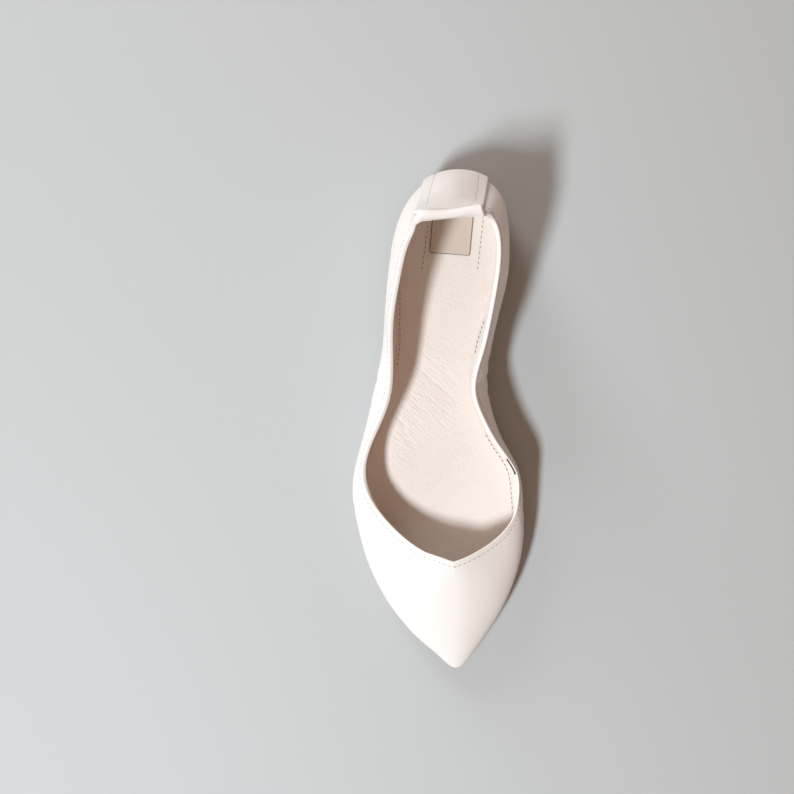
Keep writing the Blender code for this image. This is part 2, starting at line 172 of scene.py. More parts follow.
# Ribs from the heel's back to the tip of the toe. Stations are shares of LENGTH, medial and lateral
# offsets shares of BALL_WIDTH, first for the widest line and then for the topline. Then come the
# topline's height, as shares of COLLAR_HEIGHT and INSTEP_HEIGHT, the widest line's height and the
# sole edge's tuck, as shares of theirs, the slope at the topline in degrees and the rib's fullness.
RIB_COLUMNS = ("side_station", "side_medial", "side_lateral", "top_station", "top_medial",
               "top_lateral", "collar", "instep", "bulge", "tuck", "rise", "full")
RIBS = {
    "heel back": (0.0073, 0.097, -0.097, 0.1010, 0.056, -0.056, 1.205, 0.000, 0.90, 0.31, 60, 0.34),
    "strip edge": (0.0205, 0.263, 0.054, 0.1005, 0.214, 0.106, 1.205, 0.000, 0.90, 0.31, 80, 0.34),
    "corner": (0.0592, 0.363, 0.172, 0.1130, 0.283, 0.141, 1.000, 0.000, 0.92, 0.33, 68, 0.36),
    "heel side": (0.1145, 0.389, 0.240, 0.1412, 0.315, 0.179, 0.960, 0.000, 0.95, 0.36, 70, 0.40),
    "heel front": (0.1908, 0.387, 0.278, 0.1927, 0.322, 0.221, 0.862, 0.000, 1.00, 0.42, 75, 0.40),
    "rear waist": (0.2748, 0.335, 0.299, 0.2729, 0.290, 0.265, 0.650, 0.090, 1.02, 0.64, 76, 0.40),
    "waist": (0.3435, 0.296, 0.322, 0.3435, 0.247, 0.272, 0.450, 0.260, 1.05, 0.93, 72, 0.42),
    "front waist": (0.4046, 0.282, 0.362, 0.4065, 0.208, 0.281, 0.280, 0.460, 1.08, 1.00, 60, 0.42),
    "shank": (0.4618, 0.314, 0.401, 0.4618, 0.253, 0.330, 0.140, 0.640, 1.08, 0.86, 62, 0.42),
    "behind ball": (0.5191, 0.378, 0.445, 0.5191, 0.345, 0.405, 0.050, 0.730, 1.02, 0.64, 70, 0.44),
    "ball rear": (0.5802, 0.471, 0.494, 0.5744, 0.450, 0.442, 0.000, 0.748, 0.95, 0.43, 68, 0.46),
    "ball": (0.6412, 0.497, 0.505, 0.6240, 0.466, 0.410, 0.000, 0.695, 0.90, 0.36, 46, 0.48),
    "vamp side": (0.7023, 0.505, 0.473, 0.6675, 0.438, 0.322, 0.000, 0.709, 0.84, 0.33, 28, 0.52),
    "vamp": (0.7634, 0.486, 0.427, 0.7006, 0.361, 0.223, 0.000, 0.780, 0.78, 0.31, 19, 0.48),
    "toe rear": (0.8244, 0.437, 0.354, 0.7233, 0.265, 0.126, 0.000, 0.870, 0.70, 0.29, 14, 0.42),
    "toe": (0.8855, 0.356, 0.246, 0.7376, 0.185, 0.038, 0.000, 0.945, 0.60, 0.26, 12, 0.36),
    "toe front": (0.9389, 0.260, 0.107, 0.7440, 0.129, -0.027, 0.000, 0.985, 0.48, 0.21, 12.5, 0.30),
    "tip side": (0.9733, 0.195, -0.007, 0.7460, 0.100, -0.059, 0.000, 0.996, 0.38, 0.17, 14, 0.24),
    "tip": (0.9992, 0.117, -0.117, 0.7463, 0.079, -0.079, 0.000, 1.000, 0.30, 0.14, 15, 0.20),
}
STRIP_RIB = 1


def smooth(x):
    """Zero below 0, one above 1, with no corner between."""
    x = np.clip(x, 0.0, 1.0)
    return x * x * (3.0 - 2.0 * x)


def sole_bottom(station):
    """Height of the outsole's lower face at this distance from the heel's back."""
    arch = 1.0 - smooth((station - HEEL_LENGTH) / (ARCH_END * LENGTH - HEEL_LENGTH))
    toe = np.clip((station - FLAT_END * LENGTH) / ((1.0 - FLAT_END) * LENGTH), 0.0, None)
    return HEEL_STACK * arch + TOE_SPRING * toe**TOE_CURVE


def seat(station):
    """Height at which the upper's wall and the sock rest."""
    return sole_bottom(station) + OUTSOLE_THICKNESS + GAP


def rib_knots():
    """Each rib's values once round the shoe: heel back, medial ribs, tip, lateral ribs."""
    rows = [dict(zip(RIB_COLUMNS, row)) for row in RIBS.values()]
    last = len(rows) - 1
    walk = [(i, 1) for i in range(last + 1)] + [(i, -1) for i in range(last - 1, 0, -1)]
    knots = []
    for i, side in walk:
        row = rows[i]
        across = ("side_medial", "top_medial") if side > 0 else ("side_lateral", "top_lateral")
        turned = side * row[across[1]] * BALL_WIDTH * math.tan(HEEL_TURN)
        top_station = row["top_station"] * LENGTH - turned * smooth(row["collar"])
        height = row["collar"] * COLLAR_HEIGHT + row["instep"] * INSTEP_HEIGHT
        knots.append((side * row[across[0]] * BALL_WIDTH, row["side_station"] * LENGTH,
                      side * row[across[1]] * BALL_WIDTH, top_station, seat(top_station) + height,
                      row["bulge"] * BULGE_HEIGHT, row["tuck"] * TUCK,
                      math.radians(row["rise"]), row["full"]))
    return np.array(knots)


def tangents_of(knots, places, kept_within):
    """Tangents at the knots of a closed curve: smooth bends, or ones that never pass the knots."""
    count = len(places) - 1
    spans = np.diff(places)
    slopes = (np.roll(knots, -1, axis=0) - knots) / spans[:, None]
    if kept_within:
        before = np.roll(slopes, 1, axis=0)
        same_way = before * slopes > 0.0
        return np.where(same_way, 2.0 * before * slopes / np.where(same_way, before + slopes, 1.0), 0.0)
    system = np.zeros((count, count))
    right = np.zeros((count, knots.shape[1]))
    for i in range(count):
        before = spans[i - 1]
        after = spans[i]
        system[i, i - 1] += after
        system[i, i] += 2.0 * (before + after)
        system[i, (i + 1) % count] += before
        right[i] = 3.0 * (after * slopes[i - 1] + before * slopes[i])
    return np.linalg.solve(system, right)


def curve_through(knots, places, values, kept_within):
    """The closed curve through the knots, read at the given values."""
    tangents = tangents_of(knots, places, kept_within)
    count = len(places) - 1
    spans = np.diff(places)
    span = np.clip(np.searchsorted(places, values, side="right") - 1, 0, count - 1)
    t = ((values - places[span]) / spans[span])[:, None]
    following = (span + 1) % count
    width = spans[span][:, None]
    return ((2 * t**3 - 3 * t**2 + 1) * knots[span] + (t**3 - 2 * t**2 + t) * width * tangents[span]
            + (3 * t**2 - 2 * t**3) * knots[following] + (t**3 - t**2) * width * tangents[following])


def cubic(a, b, c, d, t):
    """The cubic curve with ends a and d and handles b and c."""
    return (1 - t) ** 3 * a + 3 * (1 - t) ** 2 * t * b + 3 * (1 - t) * t**2 * c + t**3 * d


def inward(loop):
    """Unit directions in plan that point into a loop walked from the heel along the medial side."""
    along = np.roll(loop, -1, axis=0) - np.roll(loop, 1, axis=0)
    across = np.stack([-along[:, 1], along[:, 0]], axis=1)
    return across / np.linalg.norm(across, axis=1)[:, None]


# The skin is the upper's outer face, kept as a fine net of points: COLUMNS round the shoe and
# SKIN_ROWS from the sole's edge to the topline, evenly spaced along each column.
COLUMNS = 600
SKIN_ROWS = 121

# Leather pulled over a last has no ridge down the vamp, so the net is blurred there: over how many
# columns, how far to each side of the tip, how far it then fades, and the ends of a column it spares.
CREST_BLUR = 8
CREST_HALF = 25.0 * MM
CREST_FADE = 35.0 * MM
CREST_ENDS = 0.22

# The throat comes to a point at the toe: how far the point and the flanks beside it move.
THROAT_ASIDE = 0.6 * MM
THROAT_POINT = 0.7 * MM
THROAT_POINT_FADE = 2.4 * MM
THROAT_FLANKS = (0.35 * MM, 0.75 * MM)
THROAT_FLANK_PLACE = 8.0 * MM
THROAT_FLANK_HALF = 5.5 * MM
THROAT_REACH = 20.0 * MM
THROAT_FROM = 0.70

knots = rib_knots()
knot_steps = np.linalg.norm(np.roll(knots, -1, axis=0)[:, :2] - knots[:, :2], axis=1)
knot_places = np.concatenate([[0.0], np.cumsum(knot_steps)])
ROUND = knot_places[-1]
STRIP_HALF = knot_places[STRIP_RIB]
column_places = ROUND * np.arange(COLUMNS) / COLUMNS


def smoothed_round(values, columns):
    """Values round the shoe, blurred over this many columns each way."""
    steps = np.arange(-3 * columns, 3 * columns + 1)
    weights = np.exp(-0.5 * (steps / columns) ** 2)
    return sum(w * np.roll(values, step, axis=0) for w, step in zip(weights / weights.sum(), steps))


def skin_net():
    """The skin's points and outward normals, and each column's length from sole to topline."""
    plan = curve_through(knots[:, :4], knot_places, column_places, False)
    rest = curve_through(knots[:, 4:], knot_places, column_places, True)
    side = plan[:, :2]
    top = np.column_stack([plan[:, 2:4], rest[:, 0]])
    bulge, tuck, rise, full = rest[:, 1:5].T
    away = -inward(side)
    foot = side - away * tuck[:, None]
    foot = np.column_stack([foot, seat(foot[:, 1])])
    wide = np.column_stack([side, seat(side[:, 1]) + bulge])
    up = np.array([0.0, 0.0, 1.0])
    lean = np.column_stack([away * tuck[:, None] * FOOT_LEAN, FOOT_LIFT * bulge])
    drop = up * BULGE_HANDLE * bulge[:, None]
    steps = np.linspace(0.0, 1.0, SKIN_ROWS)
    rows = [cubic(foot, foot + lean, wide - drop, wide, t) for t in steps[:-1]]
    run = top[:, :2] - side
    run = run / np.linalg.norm(run, axis=1)[:, None]
    reach = np.linalg.norm(top - wide, axis=1)[:, None]
    arrive = np.column_stack([run * np.cos(rise)[:, None], np.sin(rise)])
    lift = wide + up * (full * (top[:, 2] - wide[:, 2]))[:, None]
    rows += [cubic(wide, lift, top - arrive * TOP_HANDLE * reach, top, t) for t in steps]
    fine = np.array(rows)
    steps_up = np.linalg.norm(np.diff(fine, axis=0), axis=2)
    run_up = np.concatenate([np.zeros((1, COLUMNS)), np.cumsum(steps_up, axis=0)])
    points = np.empty((SKIN_ROWS, COLUMNS, 3))
    for j in range(COLUMNS):
        wanted = steps * run_up[-1, j]
        for k in range(3):
            points[:, j, k] = np.interp(wanted, run_up[:, j], fine[:, j, k])
    softened = smoothed_round(points.swapaxes(0, 1), CREST_BLUR).swapaxes(0, 1)
    near_crest = 1.0 - smooth((np.abs(column_places - ROUND / 2) - CREST_HALF) / CREST_FADE)
    between_edges = smooth(steps / CREST_ENDS) * smooth((1.0 - steps) / CREST_ENDS)
    points = points + (softened - points) * near_crest[None, :, None] * between_edges[:, None, None]
    lowest = points[-1, np.argmax(points[-1, :, 1])]
    apart = points[-1, :, 0] - lowest[0] - THROAT_ASIDE
    flank = np.where(apart > 0.0, THROAT_FLANKS[0], THROAT_FLANKS[1])
    pointed = (THROAT_POINT * np.exp(-np.abs(apart) / THROAT_POINT_FADE)
               - flank * np.exp(-(((np.abs(apart) - THROAT_FLANK_PLACE) / THROAT_FLANK_HALF) ** 2)))
    pointed = pointed * smooth((points[-1, :, 1] - lowest[1] + THROAT_REACH) / (0.5 * THROAT_REACH))
    points[:, :, 1] += pointed * smooth((steps - THROAT_FROM) / (1.0 - THROAT_FROM))[:, None]
    across = np.roll(points, -1, axis=1) - np.roll(points, 1, axis=1)
    normals = np.cross(across, np.gradient(points, axis=0))
    normals /= np.linalg.norm(normals, axis=2)[:, :, None]
    return points, normals, run_up[-1]


skin_points, skin_normals, column_lengths = skin_net()
upper_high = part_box("upper")[1]
SHIFT_X = upper_high.x - skin_points[:, :, 0].max()
HEEL_Y = upper_high.y + skin_points[:, :, 1].min()


def to_shoe(points):
    """From offset, distance from the heel's back and height to the shoe's own axes."""
    points = np.asarray(points)
    return np.stack([points[..., 0] + SHIFT_X, HEEL_Y - points[..., 1], points[..., 2]], axis=-1)


def on_net(net, places, shares):
    """A net's values at places round the shoe and shares of the way up."""
    column = np.mod(np.asarray(places) / ROUND, 1.0) * COLUMNS
    row = np.clip(np.asarray(shares), 0.0, 1.0) * (SKIN_ROWS - 1)
    j = np.floor(column).astype(int)
    i = np.minimum(np.floor(row).astype(int), SKIN_ROWS - 2)
    a = (column - j)[..., None]
    b = (row - i)[..., None]
    j = j % COLUMNS
    k = (j + 1) % COLUMNS
    return ((1 - a) * (1 - b) * net[i, j] + a * (1 - b) * net[i, k]
            + (1 - a) * b * net[i + 1, j] + a * b * net[i + 1, k])


def length_at(places):
    """How long the skin is from the sole's edge to the topline at these places."""
    return np.interp(np.mod(places, ROUND), np.append(column_places, ROUND),
                     np.append(column_lengths, column_lengths[0]))


# Soft creases of the upper: the side and station of the middle, its share of the way up, then half
# the length, half the width and the depth in millimetres and the slant in degrees. A depth below
# zero swells out. Creases die away towards the sole's edge and the topline.
CREASE_COLUMNS = ("side", "station", "share", "half_length", "half_width", "depth", "slant")
CREASES = {
    "inner waist kink": (1, 0.395, 0.62, 9.0, 1.6, 0.42, 78),
    "inner waist ripple": (1, 0.425, 0.50, 8.0, 1.8, 0.28, 70),
    "inner waist pull": (1, 0.360, 0.55, 11.0, 2.2, 0.25, 100),
    "outer waist pull": (-1, 0.400, 0.55, 12.0, 2.4, 0.30, 82),
    "outer waist ripple": (-1, 0.445, 0.60, 9.0, 2.0, 0.22, 96),
    "inner ball bend": (1, 0.660, 0.45, 10.0, 2.2, 0.26, 118),
    "inner ball second bend": (1, 0.690, 0.40, 9.0, 2.0, 0.18, 112),
    "outer ball bend": (-1, 0.660, 0.45, 10.0, 2.2, 0.24, 62),
    "inner heel dent": (1, 0.120, 0.58, 8.0, 3.0, 0.30, 15),
    "inner heel ripple": (1, 0.150, 0.46, 9.0, 2.2, 0.22, 160),
    "outer heel dent": (-1, 0.130, 0.55, 9.0, 3.0, 0.30, 165),
    "outer heel ripple": (-1, 0.175, 0.40, 8.0, 2.2, 0.20, 24),
}
CREASE_FREE_BELOW = 5.0 * MM
CREASE_FREE_ABOVE = 4.0 * MM
SWELLS = {
    "inner quarter": (1, 0.230, 0.55, 24.0, 9.0, -0.35, 8),
    "outer quarter": (-1, 0.240, 0.50, 26.0, 9.0, -0.35, 172),
    "vamp inner side": (1, 0.800, 0.45, 26.0, 12.0, -0.30, 0),
    "vamp outer side": (-1, 0.780, 0.45, 26.0, 12.0, -0.30, 0),
}


def place_at(side, station):
    """Where round the shoe the widest line passes this share of its length, on the given side."""
    plan = curve_through(knots[:, :2], knot_places, column_places, False)
    front = int(np.argmax(plan[:, 1]))
    if side > 0:
        return float(np.interp(station * LENGTH, plan[:front, 1], column_places[:front]))
    return float(np.interp(station * LENGTH, plan[front:, 1][::-1], column_places[front:][::-1]))


def crease_push(places, shares, table):
    """How far the leather stands in or out for a table of creases, at places and shares."""
    push = np.zeros(np.broadcast(places, shares).shape)
    lengths = length_at(places)
    for row in table.values():
        crease = dict(zip(CREASE_COLUMNS, row))
        middle = place_at(crease["side"], crease["station"])
        apart = np.mod(places - middle + ROUND / 2, ROUND) - ROUND / 2
        along_place = apart * crease["side"]
        up = (shares - crease["share"]) * lengths
        slant = math.radians(crease["slant"])
        along = along_place * math.cos(slant) + up * math.sin(slant)
        across = -along_place * math.sin(slant) + up * math.cos(slant)
        across = across / (crease["half_width"] * MM)
        fade = np.exp(-(along / (crease["half_length"] * MM)) ** 4)
        trough = np.exp(-(across**2))
        ridge = 0.45 * np.exp(-((across - 1.9) ** 2)) + 0.25 * np.exp(-((across + 1.9) ** 2))
        push += crease["depth"] * MM * fade * (ridge - trough)
    return push


def creases_and_swells(places, shares, rise, drop):
    """Both tables' push, this far above the sole's edge and below the topline."""
    push = crease_push(places, shares, CREASES) + crease_push(places, shares, SWELLS)
    return push * (smooth(rise / CREASE_FREE_BELOW) * smooth(drop / CREASE_FREE_ABOVE))


# The stitched groove below the topline, and the seam over the sole's edge, which is a narrow band
# round the heel. The rows of the wall's net crowd where they run.
STITCH_DROP = 2.3 * MM
TAB_DROP = 9.5 * MM
GROOVE_HALF = 0.80 * MM
GROOVE_DEPTH = 0.09 * MM
SOLE_STITCH_RISE = 3.0 * MM
BAND_RISE = 2.3 * MM
BAND_HALF = 0.35 * MM
BAND_DEPTH = 0.35 * MM
BAND_END = 0.27
BAND_FADE = 0.05
NEAR_SOLE = np.array([0.0, 0.5, 1.0, 1.4, 1.8, 2.1, 2.4, 2.7, 3.0, 3.4, 4.0, 5.0, 6.5]) * MM
NEAR_TOP = np.array([8.0, 6.5, 5.4, 4.6, 4.0, 3.6, 3.2, 2.8, 2.4, 2.0, 1.5, 1.0, 0.5, 0.0]) * MM
BETWEEN = 30
LINING_TOP = np.array([0.5, 1.2, 2.2, 3.4, 5.0, 7.0, 9.0]) * MM
LINING_BETWEEN = 24
LINING_FOOT = 1.5 * MM
RIM_STEPS = 10
RIM_SQUARENESS = 0.62

# Where the wall leans in over the foot, as at the throat, the rim's inner edge lies this much lower:
# in full up to the first steepness of the wall, and not at all the second further on.
UNDERCUT = 1.3 * MM
UNDERCUT_LEAN = 0.45
UNDERCUT_SPAN = 0.35

# The short open slit between the outer leather and the lining, in the rim at the inner side of the
# ball: its station, half length and depth, how far its lips pinch in, how far from its middle its
# faces carry a near-black painted shade, and the step of the rim in which it lies.
SLIT_PLACE = 0.566
SLIT_HALF = 5.4 * MM
SLIT_DEPTH = 2.8 * MM
SLIT_PINCH = 0.35
SLIT_PAINTED_SHADE_HALF = 5.0 * MM
SLIT_STEP = 5

# The roll at the tab's top, from the outer face over the crease to the inner face: how far out and
# how far up from the topline, in millimetres, one pair for each step of the rim. Then come how it
# fades into the rim on each side, its narrower middle, its lips and its soft outer end.
ROLL = ((0.0, 0.0), (0.4, 0.9), (1.5, 1.1), (2.5, 1.3), (2.80, 1.9), (2.35, 2.75), (1.1, 3.25),
        (-0.4, 3.00), (-1.6, 2.10), (-2.35, 0.80), (-2.50, -0.40))
ROLL_LATERAL_FADE = 24.0 * MM
ROLL_MEDIAL_FADE = 1.6 * MM
ROLL_INNER_FADE = 6.0 * MM
ROLL_THICKENS = 0.45 * MM
ROLL_WAIST = 0.30
ROLL_OVER_FADE = 5.0 * MM
ROLL_INSIDE_FROM = 5.0
ROLL_INSIDE_SPAN = 3.0
INNER_LIP = 0.8 * MM
OUTER_LIP = 0.9 * MM
INNER_LIP_FADE = 6.0 * MM
END_SOFTNESS = 5
END_SOFT_STEPS = 3.0
END_BEFORE = 7.0 * MM
END_ONSET = 9.0 * MM
END_BEYOND = 14.0 * MM
END_FADE = 12.0 * MM

# The slight waves of leather worked by hand, over the whole face and along the rim.
WAVE_DEPTH = 0.10 * MM
WAVE_LENGTH = 16.0 * MM
RIM_WAVE = 0.12 * MM
RIM_WAVE_LENGTH = 11.0 * MM


def from_back(places):
    """Distance round the topline from the heel's back, positive on the inner side of the foot."""
    return np.mod(places + ROUND / 2, ROUND) - ROUND / 2


def roll_share(places, medial_fade=ROLL_MEDIAL_FADE):
    """One along the pull tab's top and zero beyond it; it fades slowly into the outer side's rim."""
    apart = from_back(places)
    medial = 1.0 - smooth((apart - STRIP_HALF) / medial_fade)
    lateral = 1.0 - smooth((-apart - STRIP_HALF + ROLL_MEDIAL_FADE) / ROLL_LATERAL_FADE)
    return medial * lateral


def stitch_drop(places):
    """How far below the topline the stitches run. At the tab they keep their height and pass under it."""
    apart = np.abs(from_back(places))
    share = 1.0 - np.clip((apart - STRIP_HALF) / (knot_places[STRIP_RIB + 1] - STRIP_HALF), 0.0, 1.0)
    return STITCH_DROP + TAB_DROP * share**1.5


def heel_band(places):
    """One round the heel, where the narrow band shows over the sole, and zero further forward."""
    station = curve_through(knots[:, :2], knot_places, np.mod(places, ROUND), False)[:, 1] / LENGTH
    return 1.0 - smooth((station - BAND_END) / BAND_FADE)


def leather_push(places, shares, rise, drop):
    """How far the outer leather stands off the skin: creases, groove, roll and sole band."""
    push = creases_and_swells(places, shares, rise, drop)
    push -= GROOVE_DEPTH * np.exp(-(((drop - stitch_drop(places)) / GROOVE_HALF) ** 2))
    push -= BAND_DEPTH * heel_band(places) * np.exp(-(((rise - BAND_RISE) / BAND_HALF) ** 2))
    return push


def unevenness(points, depth, length):
    """Soft waves in a hand-lasted leather: the same at the same place for every row that passes it."""
    return depth * np.array([noise.noise(Vector(p / length)) for p in points])


def leather_surface(places, shares):
    """The outer leather's points in their final shape, and the directions in which they face."""
    points = on_net(skin_points, places, shares)
    facing = on_net(skin_normals, places, shares)
    lengths = length_at(places)
    push = leather_push(places, shares, shares * lengths, (1.0 - shares) * lengths)
    push = push + unevenness(points, WAVE_DEPTH, WAVE_LENGTH)
    return points + facing * push[:, None], facing


def upper_net():
    """Rows of points once round the upper's wall: up the outside, over the rim, down the lining."""
    places = column_places
    lengths = column_lengths
    rows = []
    outer_shares = [d / lengths for d in NEAR_SOLE]
    middle = np.linspace(0.0, 1.0, BETWEEN + 2)[1:-1]
    free = lengths - NEAR_SOLE[-1] - NEAR_TOP[0]
    outer_shares += [(NEAR_SOLE[-1] + free * t) / lengths for t in middle]
    outer_shares += [1.0 - d / lengths for d in NEAR_TOP]
    for share in outer_shares:
        rows.append(leather_surface(places, share)[0])
    facing = skin_normals[-1]
    top = skin_points[-1] + facing * unevenness(skin_points[-1], WAVE_DEPTH, WAVE_LENGTH)[:, None]
    rim_wave = unevenness(skin_points[-1] + 0.5, RIM_WAVE, RIM_WAVE_LENGTH)
    up = skin_points[-1] - skin_points[-3]
    up = up / np.linalg.norm(up, axis=1)[:, None]
    sharp_share = roll_share(places)[:, None]
    soft_share = roll_share(places, ROLL_INNER_FADE)[:, None]
    undercut = UNDERCUT * (1.0 - smooth((up[:, 2] - UNDERCUT_LEAN) / UNDERCUT_SPAN))
    common = facing[np.abs(from_back(places)) < STRIP_HALF].mean(axis=0)
    common = common / np.linalg.norm(common)
    roll_facing = facing * (1.0 - soft_share) + common * soft_share
    roll_facing = roll_facing / np.linalg.norm(roll_facing, axis=1)[:, None]
    roll_path = np.array(ROLL) * MM
    across_tab = np.clip(from_back(places) / STRIP_HALF, -1.0, 1.0)
    waist = 1.0 - ROLL_WAIST * (1.0 - across_tab**2)
    inner_lip = INNER_LIP * np.clip(across_tab, 0.0, 1.0) ** 3
    behind = -from_back(places) - STRIP_HALF
    outer_end = smooth((behind + END_BEFORE) / END_ONSET)
    outer_end = (outer_end * (1.0 - smooth((behind - END_BEYOND) / END_FADE)))[:, None]
    lip = inner_lip + OUTER_LIP * np.clip(-across_tab, 0.0, 1.0) ** 2
    folded_over = 1.0 - smooth(behind / ROLL_OVER_FADE)
    slit = np.exp(-(((from_back(places) - place_at(1, SLIT_PLACE)) / SLIT_HALF) ** 6))[:, None]
    for k in range(1, RIM_STEPS + 1):
        angle = math.pi * k / RIM_STEPS
        turned = math.copysign(abs(math.cos(angle)) ** RIM_SQUARENESS, math.cos(angle))
        out = -0.5 * EDGE_WALL * (1.0 - turned)
        rise = (RIM_RISE + rim_wave[:, None]) * abs(math.sin(angle)) ** RIM_SQUARENESS
        if k == SLIT_STEP:
            rise = rise - SLIT_DEPTH * slit
        elif abs(k - SLIT_STEP) == 1:
            out = out + (-0.5 * EDGE_WALL - out) * SLIT_PINCH * slit
        rise = rise + undercut[:, None] * out / EDGE_WALL
        plain = top + facing * out + up * rise
        inner_side = float(smooth((k - ROLL_INSIDE_FROM) / ROLL_INSIDE_SPAN))
        share = sharp_share * (1.0 - inner_side) + soft_share * inner_side
        roll_out = roll_path[k, 0] * folded_over
        if roll_path[k, 0] < 0.0:
            roll_out = roll_path[k, 0] * waist + lip * roll_path[k, 0] / -roll_path[-1, 0]
        rolled = top + roll_facing * roll_out[:, None] + up * roll_path[k, 1]
        row = plain * (1.0 - share) + rolled * share
        softer = smoothed_round(row, END_SOFTNESS) - row
        rows.append(row + softer * outer_end * min(1.0, k / END_SOFT_STEPS))
    lip_fade = 1.0 - smooth((from_back(places) - STRIP_HALF) / INNER_LIP_FADE)
    inner_shares = [1.0 - (d + undercut) / lengths for d in LINING_TOP]
    start = LINING_TOP[-1] + undercut
    middle = np.linspace(0.0, 1.0, LINING_BETWEEN + 2)[1:]
    inner_shares += [1.0 - (start + (lengths - start - LINING_FOOT) * t) / lengths for t in middle]
    inner_shares.append(np.zeros(COLUMNS))
    for level in inner_shares:
        point = on_net(skin_points, places, level)
        normal = on_net(skin_normals, places, level)
        drop = (1.0 - level) * lengths
        turned = 1.0 - smooth(drop / EDGE_FOLD)
        wall = UPPER_WALL + (EDGE_WALL - UPPER_WALL + roll_share(places) * ROLL_THICKENS) * turned
        wall = wall + inner_lip * lip_fade * turned
        push = creases_and_swells(places, level, level * lengths, drop)
        push += unevenness(point, WAVE_DEPTH, WAVE_LENGTH)
        inside = point + normal * (push - wall)[:, None]
        inside[:, 2] = np.maximum(inside[:, 2], seat(inside[:, 1]))
        rows.append(inside)
    return np.array(rows)


def net_mesh(net, closed_round, closed_up, second_from=None, third_at=None):
    """A grid laid onto a net of rows and columns, joined to itself where the net closes. Its faces
    from the row second_from on take the second material, and those of the rows and columns in
    third_at the third."""
    rows, columns = net.shape[:2]
    across = columns if closed_round else columns - 1
    spans = rows if closed_up else rows - 1
    builder = bmesh.new()
    bmesh.ops.create_grid(builder, x_segments=across, y_segments=spans, size=0.5)
    placed = to_shoe(net)
    if second_from is not None:
        for face in builder.faces:
            middle = face.calc_center_median()
            row = (middle.y + 0.5) * spans
            column = (middle.x + 0.5) * across
            face.material_index = int(row > second_from)
            if third_at[0] < row < third_at[1] and third_at[2] < column < third_at[3]:
                face.material_index = 2
    for vertex in builder.verts:
        j = round((vertex.co.x + 0.5) * across) % columns
        i = round((vertex.co.y + 0.5) * spans) % rows
        vertex.co = placed[i, j]
    if closed_round or closed_up:
        bmesh.ops.remove_doubles(builder, verts=builder.verts, dist=MM * 1e-4)
    bmesh.ops.recalc_face_normals(builder, faces=builder.faces)
    return builder


def leather(name, light, dark, roughness, grain_size, grain_depth, mottle_size, coat):
    """Smooth leather: two near tones in soft clouds, a fine pebbled grain and an uneven gloss."""
    made, tree = new_material(name, roughness)
    nodes = tree.nodes
    shader = nodes["Principled BSDF"]
    shader.inputs["Coat Weight"].default_value = coat
    shader.inputs["Coat Roughness"].default_value = 0.35
    place = nodes.new("ShaderNodeTexCoord")
    clouds = nodes.new("ShaderNodeTexNoise")
    clouds.inputs["Scale"].default_value = 1.0 / mottle_size
    clouds.inputs["Detail"].default_value = 4.0
    tones = nodes.new("ShaderNodeMix")
    tones.data_type = "RGBA"
    tones.inputs["A"].default_value = (*light, 1.0)
    tones.inputs["B"].default_value = (*dark, 1.0)
    tree.links.new(place.outputs["Object"], clouds.inputs["Vector"])
    tree.links.new(clouds.outputs["Fac"], tones.inputs["Factor"])
    tree.links.new(tones.outputs["Result"], shader.inputs["Base Color"])
    cells = nodes.new("ShaderNodeTexVoronoi")
    cells.feature = "SMOOTH_F1"
    cells.inputs["Scale"].default_value = 1.0 / grain_size
    cells.inputs["Smoothness"].default_value = 0.6
    fine = nodes.new("ShaderNodeTexNoise")
    fine.inputs["Scale"].default_value = 0.6 / grain_size
    fine.inputs["Detail"].default_value = 3.0
    grain = nodes.new("ShaderNodeMix")
    grain.inputs["Factor"].default_value = 0.45
    tree.links.new(place.outputs["Object"], cells.inputs["Vector"])
    tree.links.new(place.outputs["Object"], fine.inputs["Vector"])
    tree.links.new(cells.outputs["Distance"], grain.inputs["A"])
    tree.links.new(fine.outputs["Fac"], grain.inputs["B"])
    bump = nodes.new("ShaderNodeBump")
    bump.inputs["Strength"].default_value = 1.0
    bump.inputs["Distance"].default_value = grain_depth
    tree.links.new(grain.outputs["Result"], bump.inputs["Height"])
    tree.links.new(bump.outputs["Normal"], shader.inputs["Normal"])
    gloss = nodes.new("ShaderNodeMapRange")
    gloss.inputs["To Min"].default_value = roughness - 0.07
    gloss.inputs["To Max"].default_value = roughness + 0.08
    tree.links.new(clouds.outputs["Fac"], gloss.inputs["Value"])
    tree.links.new(gloss.outputs["Result"], shader.inputs["Roughness"])
    return made


cream_leather = leather(
    "cream leather", light=(0.82, 0.757, 0.718), dark=(0.795, 0.722, 0.68), roughness=0.46,
    grain_size=0.55 * MM, grain_depth=0.05 * MM, mottle_size=22 * MM, coat=0.06)
lining_leather = leather(
    "lining leather", light=(0.75, 0.68, 0.62), dark=(0.70, 0.63, 0.565), roughness=0.60,
    grain_size=0.5 * MM, grain_depth=0.04 * MM, mottle_size=14 * MM, coat=0.0)
# The slit's groove faces take a near-black material: painted shade for the shadow inside the open seam.
slit_painted_shade, slit_tree = new_material("open seam painted shade", 0.9)
slit_tree.nodes["Principled BSDF"].inputs["Base Color"].default_value = (0.05, 0.033, 0.024, 1.0)
RIM_FROM = len(NEAR_SOLE) + BETWEEN + len(NEAR_TOP)
LINING_FROM = RIM_FROM + RIM_STEPS
SLIT_ROW = RIM_FROM + SLIT_STEP - 1
slit_columns = [(place_at(1, SLIT_PLACE) + end * SLIT_PAINTED_SHADE_HALF) / ROUND * COLUMNS for end in (-1, 1)]
upper_mesh = net_mesh(upper_net(), True, True, second_from=LINING_FROM,
                      third_at=(SLIT_ROW - 1, SLIT_ROW + 1, *slit_columns))
upper = piece("upper_leather", upper_mesh, [cream_leather, lining_leather, slit_painted_shade])
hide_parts("upper")
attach(upper, "root")
